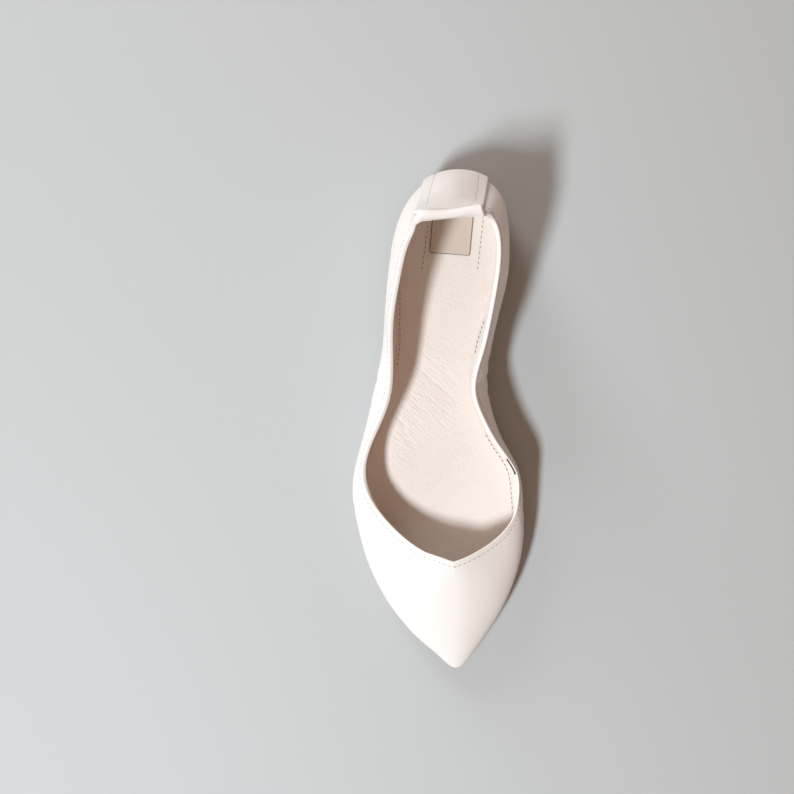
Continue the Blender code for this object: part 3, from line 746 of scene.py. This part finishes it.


# Stitches: lockstitches in thread as pale as the leather, with a dark grain of painted shade at the
# needle hole between each two.
# One row runs below the topline outside, from the strip's one edge round to its other, and one
# row over the sole's edge along both sides, where the leather is sewn to its rand.
STITCH_PITCH = 2.7 * MM
STITCH_LENGTH = 1.9 * MM
THREAD_WIDTH = 0.45 * MM
THREAD_HEIGHT = 0.30 * MM
HOLE_LENGTH = 1.10 * MM
HOLE_WIDTH = 0.52 * MM
HOLE_HEIGHT = 0.24 * MM
STITCH_SKEW = math.radians(7.0)
TOP_ROW_GAP = 1.0 * MM
SOLE_PITCH = 2.6 * MM
SOLE_ROW_START = 0.30
SOLE_ROW_END = 0.93
grain_mesh = bpy.data.meshes.new("one stitch")


def to_shoe_direction(directions):
    """The same turn for directions, which have no place."""
    directions = np.asarray(directions)
    return np.stack([directions[..., 0], -directions[..., 1], directions[..., 2]], axis=-1)


def evenly(path, facing, pitch):
    """Points along a path at an even pitch, with the normals and the path's run there."""
    run = np.concatenate([[0.0], np.cumsum(np.linalg.norm(np.diff(path, axis=0), axis=1))])
    marks = (np.arange(int(run[-1] / pitch)) + 0.5) * pitch
    points = np.column_stack([np.interp(marks, run, path[:, k]) for k in range(3)])
    normals = np.column_stack([np.interp(marks, run, facing[:, k]) for k in range(3)])
    ahead = np.column_stack([np.interp(marks + pitch / 4, run, path[:, k]) for k in range(3)])
    behind = np.column_stack([np.interp(marks - pitch / 4, run, path[:, k]) for k in range(3)])
    return points, normals, ahead - behind


def add_grain(rows, middle, axes, size):
    """Adds one flattened ball to a mesh of many."""
    one = bmesh.new()
    placing = Matrix.Translation(middle) @ axes @ Matrix.Diagonal((*size, 1.0))
    bmesh.ops.create_uvsphere(one, u_segments=8, v_segments=5, radius=0.5, matrix=placing)
    one.to_mesh(grain_mesh)
    one.free()
    rows.from_mesh(grain_mesh)


def stitch_row(threads, hole_shades, path, facing, pitch):
    """Adds one row of stitches to two meshes: a flattened grain of thread and one of painted hole shade
    for each.
    """
    for point, normal, along in zip(*evenly(path, facing, pitch)):
        up = Vector(normal).normalized()
        ahead = Vector(along)
        ahead = (ahead - up * ahead.dot(up)).normalized()
        turned = Matrix.Rotation(STITCH_SKEW, 3, up) @ ahead
        axes = Matrix((turned, up.cross(turned), up)).transposed().to_4x4()
        middle = Vector(point)
        add_grain(threads, middle, axes, (STITCH_LENGTH, THREAD_WIDTH, THREAD_HEIGHT))
        add_grain(hole_shades, middle + turned * pitch / 2, axes, (HOLE_LENGTH, HOLE_WIDTH, HOLE_HEIGHT))


def row_on_upper(places, drops):
    """A path on the upper's outer face, this far below the topline, and the directions it faces."""
    points, facing = leather_surface(places, 1.0 - drops / length_at(places))
    return to_shoe(points), to_shoe_direction(facing)


def thread_material(name, colour, roughness):
    """Twisted thread: one colour with fine bands across it and a soft sheen."""
    made, tree = new_material(name, roughness)
    nodes = tree.nodes
    shader = nodes["Principled BSDF"]
    shader.inputs["Sheen Weight"].default_value = 0.2
    place = nodes.new("ShaderNodeTexCoord")
    twist = nodes.new("ShaderNodeTexNoise")
    twist.inputs["Scale"].default_value = 1.0 / (0.5 * MM)
    tones = nodes.new("ShaderNodeMix")
    tones.data_type = "RGBA"
    tones.inputs["A"].default_value = (*[c * 1.12 for c in colour], 1.0)
    tones.inputs["B"].default_value = (*[c * 0.86 for c in colour], 1.0)
    tree.links.new(place.outputs["Object"], twist.inputs["Vector"])
    tree.links.new(twist.outputs["Fac"], tones.inputs["Factor"])
    tree.links.new(tones.outputs["Result"], shader.inputs["Base Color"])
    return made


cream_thread = thread_material("cream thread", (0.68, 0.61, 0.555), 0.6)
# The hole grains are dark flattened balls on the surface: painted shade for the shadow inside each needle
# hole, dark on the sock and paler on the outer leather.
deep_hole_painted_shade = thread_material("deep stitch-hole painted shade", (0.17, 0.12, 0.09), 0.9)
shallow_hole_painted_shade = thread_material("shallow stitch-hole painted shade", (0.33, 0.27, 0.23), 0.9)
top_threads = bmesh.new()
top_hole_shades = bmesh.new()
top_places = np.linspace(STRIP_HALF + TOP_ROW_GAP, ROUND - STRIP_HALF - TOP_ROW_GAP, 3 * COLUMNS)
stitch_row(top_threads, top_hole_shades, *row_on_upper(top_places, stitch_drop(top_places)), STITCH_PITCH)
topline_stitches = piece("topline_stitches", top_threads, [cream_thread])
topline_hole_shades = piece("topline_painted_hole_shade", top_hole_shades, [shallow_hole_painted_shade])

sole_threads = bmesh.new()
sole_hole_shades = bmesh.new()
for side in (1, -1):
    ends = [place_at(side, share) for share in (SOLE_ROW_START, SOLE_ROW_END)]
    row_places = np.linspace(ends[0], ends[1], 2 * COLUMNS)
    row_drops = length_at(row_places) - SOLE_STITCH_RISE
    stitch_row(sole_threads, sole_hole_shades, *row_on_upper(row_places, row_drops), SOLE_PITCH)
sole_stitches = piece("sole_edge_stitches", sole_threads, [cream_thread])
sole_row_hole_shades = piece("sole_edge_painted_hole_shade", sole_hole_shades, [shallow_hole_painted_shade])
for sewn in (topline_stitches, topline_hole_shades, sole_stitches, sole_row_hole_shades):
    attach(sewn, "root")


# Back strip: a narrow strip of the same leather, laid up the heel's back seam from the sole to the
# tab, where its top is sewn under the roll. It lies close to the heel and leaves it near the top.
STRIP_THICKNESS = 1.4 * MM
STRIP_HOLLOW = 1.2 * MM
HOLLOW_START = 0.80
STRIP_ROWS = 90
STRIP_COLUMNS = 44
STRIP_EDGE_STEPS = 3
STRIP_TOP = (1.9 * MM, 1.55 * MM)
STRIP_LINES = (-STRIP_HALF + 5.6 * MM, STRIP_HALF - 4.7 * MM)
STRIP_LINE_HALF = 0.6 * MM
STRIP_LINE_DEPTH = 0.09 * MM
STRIP_LINE_ENDS = (0.05, 0.96)

# A shallow ripple across the strip below the tab: its share of the way up, half width and depth, and
# how far it reaches as a share of the strip's half width.
STRIP_RIPPLE = (0.935, 1.4 * MM, 0.16 * MM, 0.55)

strip_common = on_net(skin_normals, np.linspace(-STRIP_HALF, STRIP_HALF, STRIP_COLUMNS), 1.0).mean(axis=0)
strip_common = strip_common / np.linalg.norm(strip_common)


def rounded_sheet(middle, facing, sideways, thickness, push):
    """Rows once round a sheet's section, with rounded side edges; the end rows close on themselves."""
    half = thickness / 2
    outer = middle + facing * (half + push)[..., None]
    inner = (middle - facing * half)[:, ::-1]
    spokes = [math.pi * (k + 1) / (STRIP_EDGE_STEPS + 1) for k in range(STRIP_EDGE_STEPS)]
    far_edge = [middle[:, -1] + facing[:, -1] * half * math.cos(a) + sideways[:, -1] * half * math.sin(a)
                for a in spokes]
    near_edge = [middle[:, 0] - facing[:, 0] * half * math.cos(a) - sideways[:, 0] * half * math.sin(a)
                 for a in spokes]
    net = np.concatenate([outer, np.stack(far_edge, axis=1), inner, np.stack(near_edge, axis=1)], axis=1)
    closed = np.concatenate([middle, np.repeat(middle[:, -1:], STRIP_EDGE_STEPS, axis=1),
                             middle[:, ::-1], np.repeat(middle[:, :1], STRIP_EDGE_STEPS, axis=1)], axis=1)
    return np.concatenate([closed[:1], net, closed[-1:]])


def strip_surface(places, shares):
    """Points of the strip's middle face and the directions they face; near the top it leaves the heel."""
    turn = smooth((shares - HOLLOW_START) / (1.0 - HOLLOW_START))[..., None]
    facing = on_net(skin_normals, places, shares) * (1.0 - turn) + strip_common * turn
    facing = facing / np.linalg.norm(facing, axis=-1)[..., None]
    surface = on_net(skin_points, places, shares)
    return surface + facing * (GAP + STRIP_HOLLOW * turn + STRIP_THICKNESS / 2), facing


def back_strip_net():
    """Rows round the strip's section, from the sole's edge up to its top under the roll."""
    places = np.linspace(-STRIP_HALF, STRIP_HALF, STRIP_COLUMNS)
    shares = np.linspace(0.0, 1.0, STRIP_ROWS)
    place_grid, share_grid = np.meshgrid(places, shares)
    middle, facing = strip_surface(place_grid, share_grid)
    surface = on_net(skin_points, places, np.ones(STRIP_COLUMNS))
    up = surface - on_net(skin_points, places, np.full(STRIP_COLUMNS, 1.0 - 2.0 / SKIN_ROWS))
    up = up / np.linalg.norm(up, axis=1)[:, None]
    tip = surface + strip_common * STRIP_TOP[0] + up * STRIP_TOP[1]
    middle = np.concatenate([middle, [tip]])
    facing = np.concatenate([facing, facing[-1:]])
    sideways = np.gradient(middle, axis=1)
    sideways = sideways / np.linalg.norm(sideways, axis=2)[..., None]
    push = np.zeros(middle.shape[:2])
    for line in STRIP_LINES:
        push -= STRIP_LINE_DEPTH * np.exp(-(((places - line) / STRIP_LINE_HALF) ** 2))
    ripple_share, ripple_half, ripple_depth, ripple_reach = STRIP_RIPPLE
    from_ripple = (shares - ripple_share) * length_at(0.0) / ripple_half
    across = np.exp(-((places / (ripple_reach * STRIP_HALF)) ** 4))
    push[:-1] -= ripple_depth * np.exp(-(from_ripple**2))[:, None] * across
    return rounded_sheet(middle, facing, sideways, STRIP_THICKNESS, push)


back_strip = piece("back_strip_leather", net_mesh(back_strip_net(), True, False), [cream_leather])
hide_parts("back_strip")
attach(back_strip, "root")

strip_threads = bmesh.new()
strip_hole_shades = bmesh.new()
for line in STRIP_LINES:
    line_shares = np.linspace(*STRIP_LINE_ENDS, 3 * STRIP_ROWS)
    line_points, line_facing = strip_surface(np.full(len(line_shares), line), line_shares)
    lifted = line_points + line_facing * (STRIP_THICKNESS / 2 - STRIP_LINE_DEPTH)
    stitch_row(strip_threads, strip_hole_shades, to_shoe(lifted), to_shoe_direction(line_facing), STITCH_PITCH)
for name, rows, shade in (("back_strip_stitches", strip_threads, cream_thread),
                          ("back_strip_painted_hole_shade", strip_hole_shades, shallow_hole_painted_shade)):
    sewn = piece(name, rows, [shade])
    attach(sewn, "root")


# Outsole: one layer of natural tan leather, cut to the last's foot line, with its arch and a little
# toe spring. Its edge is trimmed, stained brown and burnished; its face is left natural.
OUTSOLE_MARGIN = 0.6 * MM
SOLE_EDGE_ROUND = 0.5 * MM
SOLE_EDGE_FLATNESS = 0.75
SOLE_ALONG = 190
SOLE_ACROSS = 26
CORNER_ANGLE = math.radians(50.0)


def inset(loop, distance):
    """The loop moved inwards in plan."""
    return loop + inward(loop) * distance


def plan_edges(loop):
    """A function of station that gives a loop's medial and lateral offsets, and the loop's two ends."""
    back = int(np.argmin(loop[:, 1]))
    turned = np.roll(loop, -back, axis=0)
    front = int(np.argmax(turned[:, 1]))
    medial = turned[: front + 1]
    lateral = np.concatenate([turned[front:], turned[:1]])[::-1]

    def offsets(stations):
        return (np.interp(stations, medial[:, 1], medial[:, 0]),
                np.interp(stations, lateral[:, 1], lateral[:, 0]))

    return offsets, turned[0, 1], turned[front, 1]


def plan_grid(loop, along, across):
    """Offsets and stations of a grid that fills a loop, crowded towards its ends and its sides."""
    offsets, start, end = plan_edges(loop)
    share = 0.5 - 0.5 * np.cos(np.pi * (np.arange(along) + 0.5) / along)
    stations = start + (end - start) * share
    medial, lateral = offsets(stations)
    side = 0.5 - 0.5 * np.cos(np.pi * np.linspace(0.0, 1.0, across))
    x = lateral[:, None] + (medial - lateral)[:, None] * side[None, :]
    return x, np.broadcast_to(stations[:, None], x.shape)


def slab(low_loop, high_loop, along, across, low_height, high_height):
    """A grid laid between two loops, and the same grid extruded up to its upper face."""
    faces = []
    for loop, height in ((low_loop, low_height), (high_loop, high_height)):
        x, stations = plan_grid(loop, along, across)
        faces.append(to_shoe(np.stack([x, stations, height(x, stations)], axis=-1)))
    builder = bmesh.new()
    bmesh.ops.create_grid(builder, x_segments=across - 1, y_segments=along - 1, size=0.5)
    lower = builder.verts[:]
    raised = bmesh.ops.extrude_face_region(builder, geom=builder.faces[:])["geom"]
    higher = [v for v in raised if isinstance(v, bmesh.types.BMVert)]
    for level, verts in enumerate((lower, higher)):
        for vertex in verts:
            i = round((vertex.co.y + 0.5) * (along - 1))
            j = round((vertex.co.x + 0.5) * (across - 1))
            vertex.co = faces[level][i, j]
    bmesh.ops.recalc_face_normals(builder, faces=builder.faces)
    return builder


def bevel_corners(builder, offset, steps):
    """Rounds every edge whose faces turn by more than CORNER_ANGLE."""
    corners = [e for e in builder.edges if len(e.link_faces) == 2 and e.calc_face_angle() > CORNER_ANGLE]
    bmesh.ops.bevel(builder, geom=corners, offset=offset, offset_type="OFFSET", segments=steps,
                    profile=0.5, affect="EDGES", material=-1)


sole_edge = inset(skin_points[0, :, :2], -OUTSOLE_MARGIN)
outsole_mesh = slab(sole_edge, sole_edge, SOLE_ALONG, SOLE_ACROSS,
                    lambda x, d: sole_bottom(d), lambda x, d: sole_bottom(d) + OUTSOLE_THICKNESS)
bevel_corners(outsole_mesh, SOLE_EDGE_ROUND, 3)
tan_leather = leather(
    "natural sole leather", light=(0.79, 0.63, 0.50), dark=(0.75, 0.575, 0.445), roughness=0.55,
    grain_size=0.5 * MM, grain_depth=0.03 * MM, mottle_size=30 * MM, coat=0.03)
sole_edge_stain = leather(
    "stained sole edge", light=(0.36, 0.175, 0.09), dark=(0.28, 0.13, 0.066), roughness=0.42,
    grain_size=0.7 * MM, grain_depth=0.04 * MM, mottle_size=8 * MM, coat=0.10)
# The edge's top band, where the sole meets the upper, is a darker brown still.
sole_edge_top_dark = leather(
    "dark line of the sole edge", light=(0.13, 0.062, 0.036), dark=(0.10, 0.047, 0.028), roughness=0.50,
    grain_size=0.7 * MM, grain_depth=0.04 * MM, mottle_size=8 * MM, coat=0.05)
outsole = piece("outsole_leather", outsole_mesh, [tan_leather, sole_edge_stain, sole_edge_top_dark],
                flat_angle=40)
for face in outsole.data.polygons:
    station = HEEL_Y - face.center.y
    risen = face.center.z - sole_bottom(station)
    side_face = abs(face.normal.z) < SOLE_EDGE_FLATNESS
    face.material_index = int(side_face) + int(side_face and risen > OUTSOLE_THICKNESS - SOLE_EDGE_ROUND)
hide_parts("outsole")
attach(outsole, "root")


# Heel: a thin brown lift under the outsole and a brown block under it, both glued and nailed on, cut
# to the sole's outline, with a shallow hollow breast and the block's lower edge rounded off.
HEEL_BLOCK_HEIGHT = 4.8 * MM
HEEL_BLOCK_ROUND = 1.1 * MM
HEEL_BLOCK_INSET = 0.6 * MM
HEEL_LIFT_INSET = 0.2 * MM
HEEL_LIFT_ROUND = 0.3 * MM
HEEL_STATIONS = 60
BREAST_CURVE = 3.5 * MM
BREAST_STEPS = 24

# The stations of the heel's sides crowd towards its back along a quarter wave. Only this share of it
# is used, so that the last ones leave the rounded lower edge room at the breast's corners.
BREAST_GAP = 0.95

# How squarely a face looks down to be the heel's bottom, how much one slopes to take the painted
# highlight of its rounded lower edge, and how high that highlight reaches.
BOTTOM_FLATNESS = 0.98
HIGHLIGHT_SLOPE = 0.05
HIGHLIGHT_HEIGHT = 1.25 * HEEL_BLOCK_ROUND


def heel_outline(loop):
    """The back of the sole's outline, closed at the heel's breast by a shallow hollow curve."""
    offsets, start, _ = plan_edges(loop)
    share = 1.0 - np.cos(0.5 * np.pi * BREAST_GAP * (np.arange(HEEL_STATIONS) + 0.5) / HEEL_STATIONS)
    stations = start + (HEEL_LENGTH - start) * share
    medial, lateral = offsets(stations)
    breast_medial, breast_lateral = offsets(np.array([HEEL_LENGTH]))
    t = np.linspace(0.0, 1.0, BREAST_STEPS + 1)
    breast = np.column_stack([breast_medial[0] * (1 - t) + breast_lateral[0] * t,
                              HEEL_LENGTH - BREAST_CURVE * 4.0 * t * (1.0 - t)])
    return np.concatenate([np.column_stack([medial, stations]), breast,
                           np.column_stack([lateral, stations])[::-1]])


def heel_layer(loop, low, high):
    """A disc laid on the heel's outline and extruded to the layer's height."""
    outline = heel_outline(loop)
    builder = bmesh.new()
    ring = bmesh.ops.create_circle(builder, segments=len(outline), radius=1.0, cap_ends=True)["verts"]
    for vertex, (x, station) in zip(ring, outline):
        vertex.co = to_shoe([x, station, low])
    raised = bmesh.ops.extrude_face_region(builder, geom=builder.faces[:])["geom"]
    for vertex in [v for v in raised if isinstance(v, bmesh.types.BMVert)]:
        vertex.co.z = high
    bmesh.ops.recalc_face_normals(builder, faces=builder.faces)
    return builder


lift_brown = leather(
    "lift brown", light=(0.38, 0.20, 0.13), dark=(0.31, 0.155, 0.10), roughness=0.50,
    grain_size=0.8 * MM, grain_depth=0.05 * MM, mottle_size=12 * MM, coat=0.04)
heel_brown = leather(
    "heel brown", light=(0.20, 0.108, 0.062), dark=(0.16, 0.084, 0.049), roughness=0.50,
    grain_size=0.8 * MM, grain_depth=0.05 * MM, mottle_size=12 * MM, coat=0.04)
# The block's rounded lower edge is a lighter brown: a painted highlight where light catches the rounding.
heel_edge_painted_highlight = leather(
    "heel edge painted highlight", light=(0.31, 0.18, 0.108), dark=(0.25, 0.14, 0.082), roughness=0.45,
    grain_size=0.8 * MM, grain_depth=0.04 * MM, mottle_size=9 * MM, coat=0.06)
heel_bottom = leather(
    "heel bottom", light=(0.125, 0.078, 0.046), dark=(0.10, 0.06, 0.036), roughness=0.62,
    grain_size=0.7 * MM, grain_depth=0.06 * MM, mottle_size=10 * MM, coat=0.0)
lift_mesh = heel_layer(inset(sole_edge, HEEL_LIFT_INSET), HEEL_BLOCK_HEIGHT + GAP, HEEL_STACK - GAP)
bevel_corners(lift_mesh, HEEL_LIFT_ROUND, 2)
heel_lift = piece("heel_lift_leather", lift_mesh, [lift_brown], flat_angle=40)
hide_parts("heel_lift")
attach(heel_lift, "root")

block_mesh = heel_layer(inset(sole_edge, HEEL_BLOCK_INSET), 0.0, HEEL_BLOCK_HEIGHT)
lower_rim = [e for e in block_mesh.edges if e.verts[0].co.z < MM * 0.1 and e.verts[1].co.z < MM * 0.1]
bmesh.ops.bevel(block_mesh, geom=lower_rim, offset=HEEL_BLOCK_ROUND, offset_type="OFFSET", segments=4,
                profile=0.5, affect="EDGES", material=-1)
heel_block = piece("heel_block_leather", block_mesh, [heel_brown, heel_edge_painted_highlight, heel_bottom],
                   flat_angle=40)
for face in heel_block.data.polygons:
    if face.normal.z < -BOTTOM_FLATNESS:
        face.material_index = 2
    # Faces of the rounded lower edge take the painted highlight.
    elif face.center.z < HIGHLIGHT_HEIGHT and abs(face.normal.z) > HIGHLIGHT_SLOPE:
        face.material_index = 1
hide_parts("heel_block")
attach(heel_block, "root")


# Insole: a sock of thin beige lining leather glued over its board, fitted to the wall all round. It
# has worn into fine slanting wrinkles across the waist, where the foot bends it.
SOCK_THICKNESS = 2.4 * MM
SOCK_ALONG = 380
SOCK_ACROSS = 110
SOCK_EDGE_FALL = 0.5 * MM
SOCK_EDGE_WIDTH = 2.5 * MM

# The sock's wrinkles, and then its broad shallow swales and swells: the middle's x and y, half the
# length, half the width and the depth in millimetres, and the turn in degrees.
WRINKLES = (
    (-0.2, 23.4, 12.0, 0.55, 0.30, -41), (5.2, 27.8, 6.4, 0.55, 0.24, -43),
    (-1.5, 42.1, 3.3, 0.60, 0.16, -18), (4.2, 43.7, 2.4, 0.60, 0.16, -45),
    (-9.3, 12.2, 3.4, 0.60, 0.20, -35), (-19.7, 4.0, 4.5, 0.65, 0.26, -52),
    (-18.0, 1.2, 3.4, 0.60, 0.20, -55), (3.1, 1.4, 2.2, 0.60, 0.18, -41),
    (-10.9, 6.8, 2.8, 0.60, 0.16, -53), (3.9, 9.4, 2.2, 0.60, 0.14, -50),
    (-4.4, 38.0, 3.2, 0.60, 0.16, -42), (-2.8, 27.8, 3.2, 0.60, 0.16, -37),
    (-6.2, 17.2, 4.0, 0.60, 0.18, -34), (-16.5, 9.0, 3.0, 0.60, 0.16, -48),
    (-13.0, 16.5, 2.6, 0.60, 0.14, -44),
)
SWALES = (
    (-6.0, 60.0, 30.0, 12.0, 0.22, 84), (10.0, -20.0, 26.0, 14.0, 0.25, 70),
    (-12.0, -30.0, 20.0, 12.0, -0.20, 100), (2.0, 20.0, 20.0, 9.0, 0.20, -50),
    (8.0, 85.0, 16.0, 10.0, -0.15, 80),
)


def lining_loop(height):
    """The loop in plan where the lining stands this high over the sole."""
    lining = skin_points - skin_normals * UPPER_WALL
    over = lining[:, :, 2] - seat(lining[:, :, 1])
    loop = np.empty((COLUMNS, 2))
    for j in range(COLUMNS):
        above = int(np.argmax(over[:, j] > height))
        below = max(above - 1, 0)
        t = 0.0 if above == 0 else (height - over[below, j]) / (over[above, j] - over[below, j])
        loop[j] = lining[below, j, :2] * (1 - t) + lining[above, j, :2] * t
    return loop


def wrinkled(x, station, table, power):
    """How far a table of troughs sinks the sock."""
    sunk = np.zeros(np.shape(x))
    for middle_x, middle_y, half_length, half_width, depth, turn in table:
        east = x + SHIFT_X - middle_x * MM
        north = HEEL_Y - station - middle_y * MM
        turn = math.radians(turn)
        along = (east * math.cos(turn) + north * math.sin(turn)) / (half_length * MM)
        aside = (north * math.cos(turn) - east * math.sin(turn)) / (half_width * MM)
        sunk += depth * MM * np.exp(-(np.abs(along) ** power)) * np.exp(-(aside**2))
    return sunk


def sock_top(x, station):
    """The sock's upper face: nearly level on its board, lower at its skived edge, and wrinkled."""
    offsets, _, _ = plan_edges(sock_high)
    medial, lateral = offsets(station)
    from_edge = np.minimum(medial - x, x - lateral)
    fallen = SOCK_EDGE_FALL * (1.0 - smooth(from_edge / SOCK_EDGE_WIDTH))
    level = seat(station) + SOCK_THICKNESS - fallen
    return level - wrinkled(x, station, WRINKLES, 4) - wrinkled(x, station, SWALES, 2)


# Where fine wrinkles crowd: middle x and y and half sizes in millimetres, and strength. Then come the
# turn, length, width and depth of one such wrinkle.
CREASED_SPOTS = (
    (-16.0, 4.0, 9.0, 14.0, 1.0), (-6.0, 20.0, 12.0, 14.0, 0.7), (0.0, 38.0, 11.0, 10.0, 0.6),
    (-20.0, -12.0, 6.0, 12.0, 0.7), (4.0, 4.0, 8.0, 10.0, 0.5), (14.0, -14.0, 10.0, 16.0, 0.25),
)
FINE_TURN = math.radians(-41.0)
FINE_LENGTH = 8.0 * MM
FINE_WIDTH = 1.3 * MM
FINE_DEPTH = 0.55 * MM


def add_wear(material):
    """Fine slanting wrinkles in the sock's bump, as strong as the mesh's own painted values."""
    nodes = material.node_tree.nodes
    links = material.node_tree.links
    place = nodes.new("ShaderNodeTexCoord")
    turned = nodes.new("ShaderNodeMapping")
    turned.vector_type = "TEXTURE"
    turned.inputs["Rotation"].default_value = (0.0, 0.0, FINE_TURN)
    turned.inputs["Scale"].default_value = (FINE_LENGTH, FINE_WIDTH, FINE_LENGTH)
    lines = nodes.new("ShaderNodeTexNoise")
    lines.inputs["Scale"].default_value = 1.0
    lines.inputs["Detail"].default_value = 2.0
    painted = nodes.new("ShaderNodeAttribute")
    painted.attribute_name = "creased"
    strong = nodes.new("ShaderNodeMath")
    strong.operation = "MULTIPLY"
    deeper = nodes.new("ShaderNodeBump")
    deeper.inputs["Strength"].default_value = 1.0
    deeper.inputs["Distance"].default_value = FINE_DEPTH
    links.new(place.outputs["Object"], turned.inputs["Vector"])
    links.new(turned.outputs["Vector"], lines.inputs["Vector"])
    links.new(lines.outputs["Fac"], strong.inputs[0])
    links.new(painted.outputs["Fac"], strong.inputs[1])
    links.new(strong.outputs["Value"], deeper.inputs["Height"])
    shader = nodes["Principled BSDF"]
    links.new(shader.inputs["Normal"].links[0].from_socket, deeper.inputs["Normal"])
    links.new(deeper.outputs["Normal"], shader.inputs["Normal"])


sock_low = inset(lining_loop(0.0), GAP)
sock_high = inset(lining_loop(SOCK_THICKNESS), GAP)
insole_mesh = slab(sock_low, sock_high, SOCK_ALONG, SOCK_ACROSS, lambda x, d: seat(d), sock_top)
sock_leather = leather(
    "sock leather", light=(0.82, 0.72, 0.655), dark=(0.765, 0.66, 0.595), roughness=0.62,
    grain_size=0.75 * MM, grain_depth=0.27 * MM, mottle_size=12 * MM, coat=0.0)
add_wear(sock_leather)
creased = insole_mesh.verts.layers.float.new("creased")
for vertex in insole_mesh.verts:
    painted = 0.0
    for x, y, half_across, half_along, strength in CREASED_SPOTS:
        aside = (vertex.co.x / MM - x) / half_across
        ahead = (vertex.co.y / MM - y) / half_along
        painted += strength * math.exp(-(aside**2) - ahead**2)
    vertex[creased] = painted
insole = piece("insole_sock", insole_mesh, [sock_leather], flat_angle=50)
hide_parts("insole")
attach(insole, "root")

# Two straight rows hold the sock's heel on each side of the label: each one's ends, as x and y.
# Shorter ones follow its edge: the side, the stations of the ends, and how far in. In millimetres.
HEEL_ROWS = (((-5.0, 106.5), (-8.2, 83.0)), ((23.1, 111.5), (19.7, 81.0)))
EDGE_ROWS = ((-1, 58.0, 98.0, 1.9), (1, 73.0, 93.0, 0.7), (1, 133.0, 176.0, 1.9))
SOCK_PITCH = 2.6 * MM
sock_threads = bmesh.new()
sock_hole_shades = bmesh.new()
sock_paths = []
for start, end in HEEL_ROWS:
    t = np.linspace(0.0, 1.0, 80)
    sock_paths.append(np.column_stack([(start[0] + (end[0] - start[0]) * t) * MM - SHIFT_X,
                                       HEEL_Y - (start[1] + (end[1] - start[1]) * t) * MM]))
for side, start, end, from_edge in EDGE_ROWS:
    row_offsets, _, _ = plan_edges(inset(sock_high, from_edge * MM))
    stations = np.linspace(start, end, 160) * MM
    sock_paths.append(np.column_stack([row_offsets(stations)[0 if side > 0 else 1], stations]))
for row_path in sock_paths:
    on_top = np.column_stack([row_path, sock_top(row_path[:, 0], row_path[:, 1])])
    upwards = np.tile([0.0, 0.0, 1.0], (len(on_top), 1))
    stitch_row(sock_threads, sock_hole_shades, to_shoe(on_top), upwards, SOCK_PITCH)
for name, rows, shade in (("sock_stitches", sock_threads, cream_thread),
                          ("sock_painted_hole_shade", sock_hole_shades, deep_hole_painted_shade)):
    sewn = piece(name, rows, [shade])
    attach(sewn, "root")


# Label: a small bare patch of greige leather, glued to the sock at the heel and turned with it.
LABEL_WIDTH = 20.5 * MM
LABEL_LENGTH = 24.0 * MM
LABEL_THICKNESS = 0.5 * MM
LABEL_FRONT = 41.0 * MM
LABEL_OFFSET = 6.8 * MM
LABEL_TURN = math.radians(-5.0)
LABEL_CORNER = 0.8 * MM
LABEL_RIM_ROUND = 0.35 * MM
LABEL_RIM = 0.2 * MM

label_mesh = bmesh.new()
bmesh.ops.create_cube(label_mesh, size=1.0)
bmesh.ops.scale(label_mesh, vec=(LABEL_WIDTH, LABEL_LENGTH, LABEL_THICKNESS), verts=label_mesh.verts)
upright = [e for e in label_mesh.edges if abs(e.verts[0].co.z - e.verts[1].co.z) > LABEL_THICKNESS / 2]
bmesh.ops.bevel(label_mesh, geom=upright, offset=LABEL_CORNER, offset_type="OFFSET", segments=4,
                profile=0.5, affect="EDGES", material=-1)
upper_rim = [e for e in label_mesh.edges if e.verts[0].co.z > 0 and e.verts[1].co.z > 0]
bmesh.ops.bevel(label_mesh, geom=upper_rim, offset=LABEL_RIM_ROUND, offset_type="OFFSET", segments=2,
                profile=0.5, affect="EDGES", material=-1)
top_face = max(label_mesh.faces, key=lambda face: face.calc_center_median().z)
# Every face but the top takes the dark second material, painted shade along the label's edges.
for face in label_mesh.faces:
    face.material_index = int(face is not top_face)
bmesh.ops.inset_region(label_mesh, faces=[top_face], thickness=LABEL_RIM)
label_turn = Matrix.Rotation(LABEL_TURN, 3, "Z")
bmesh.ops.rotate(label_mesh, cent=(0, 0, 0), matrix=label_turn, verts=label_mesh.verts)
label_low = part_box("label")[0].z
label_place = to_shoe([LABEL_OFFSET, LABEL_FRONT - LABEL_LENGTH / 2, label_low + LABEL_THICKNESS / 2])
bmesh.ops.translate(label_mesh, vec=label_place, verts=label_mesh.verts)
label_leather = leather(
    "label leather", light=(0.63, 0.515, 0.435), dark=(0.58, 0.47, 0.395), roughness=0.55,
    grain_size=0.4 * MM, grain_depth=0.03 * MM, mottle_size=9 * MM, coat=0.0)
# The label's sides and rounded rim take a dark brown: painted shade along its edges, where it lies on the
# sock and under the tab's roll.
label_edge_painted_shade = leather(
    "label edge painted shade", light=(0.20, 0.15, 0.115), dark=(0.16, 0.12, 0.09), roughness=0.7,
    grain_size=0.4 * MM, grain_depth=0.03 * MM, mottle_size=9 * MM, coat=0.0)
label = piece("label_patch", label_mesh, [label_leather, label_edge_painted_shade], flat_angle=40)
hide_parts("label")
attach(label, "root")
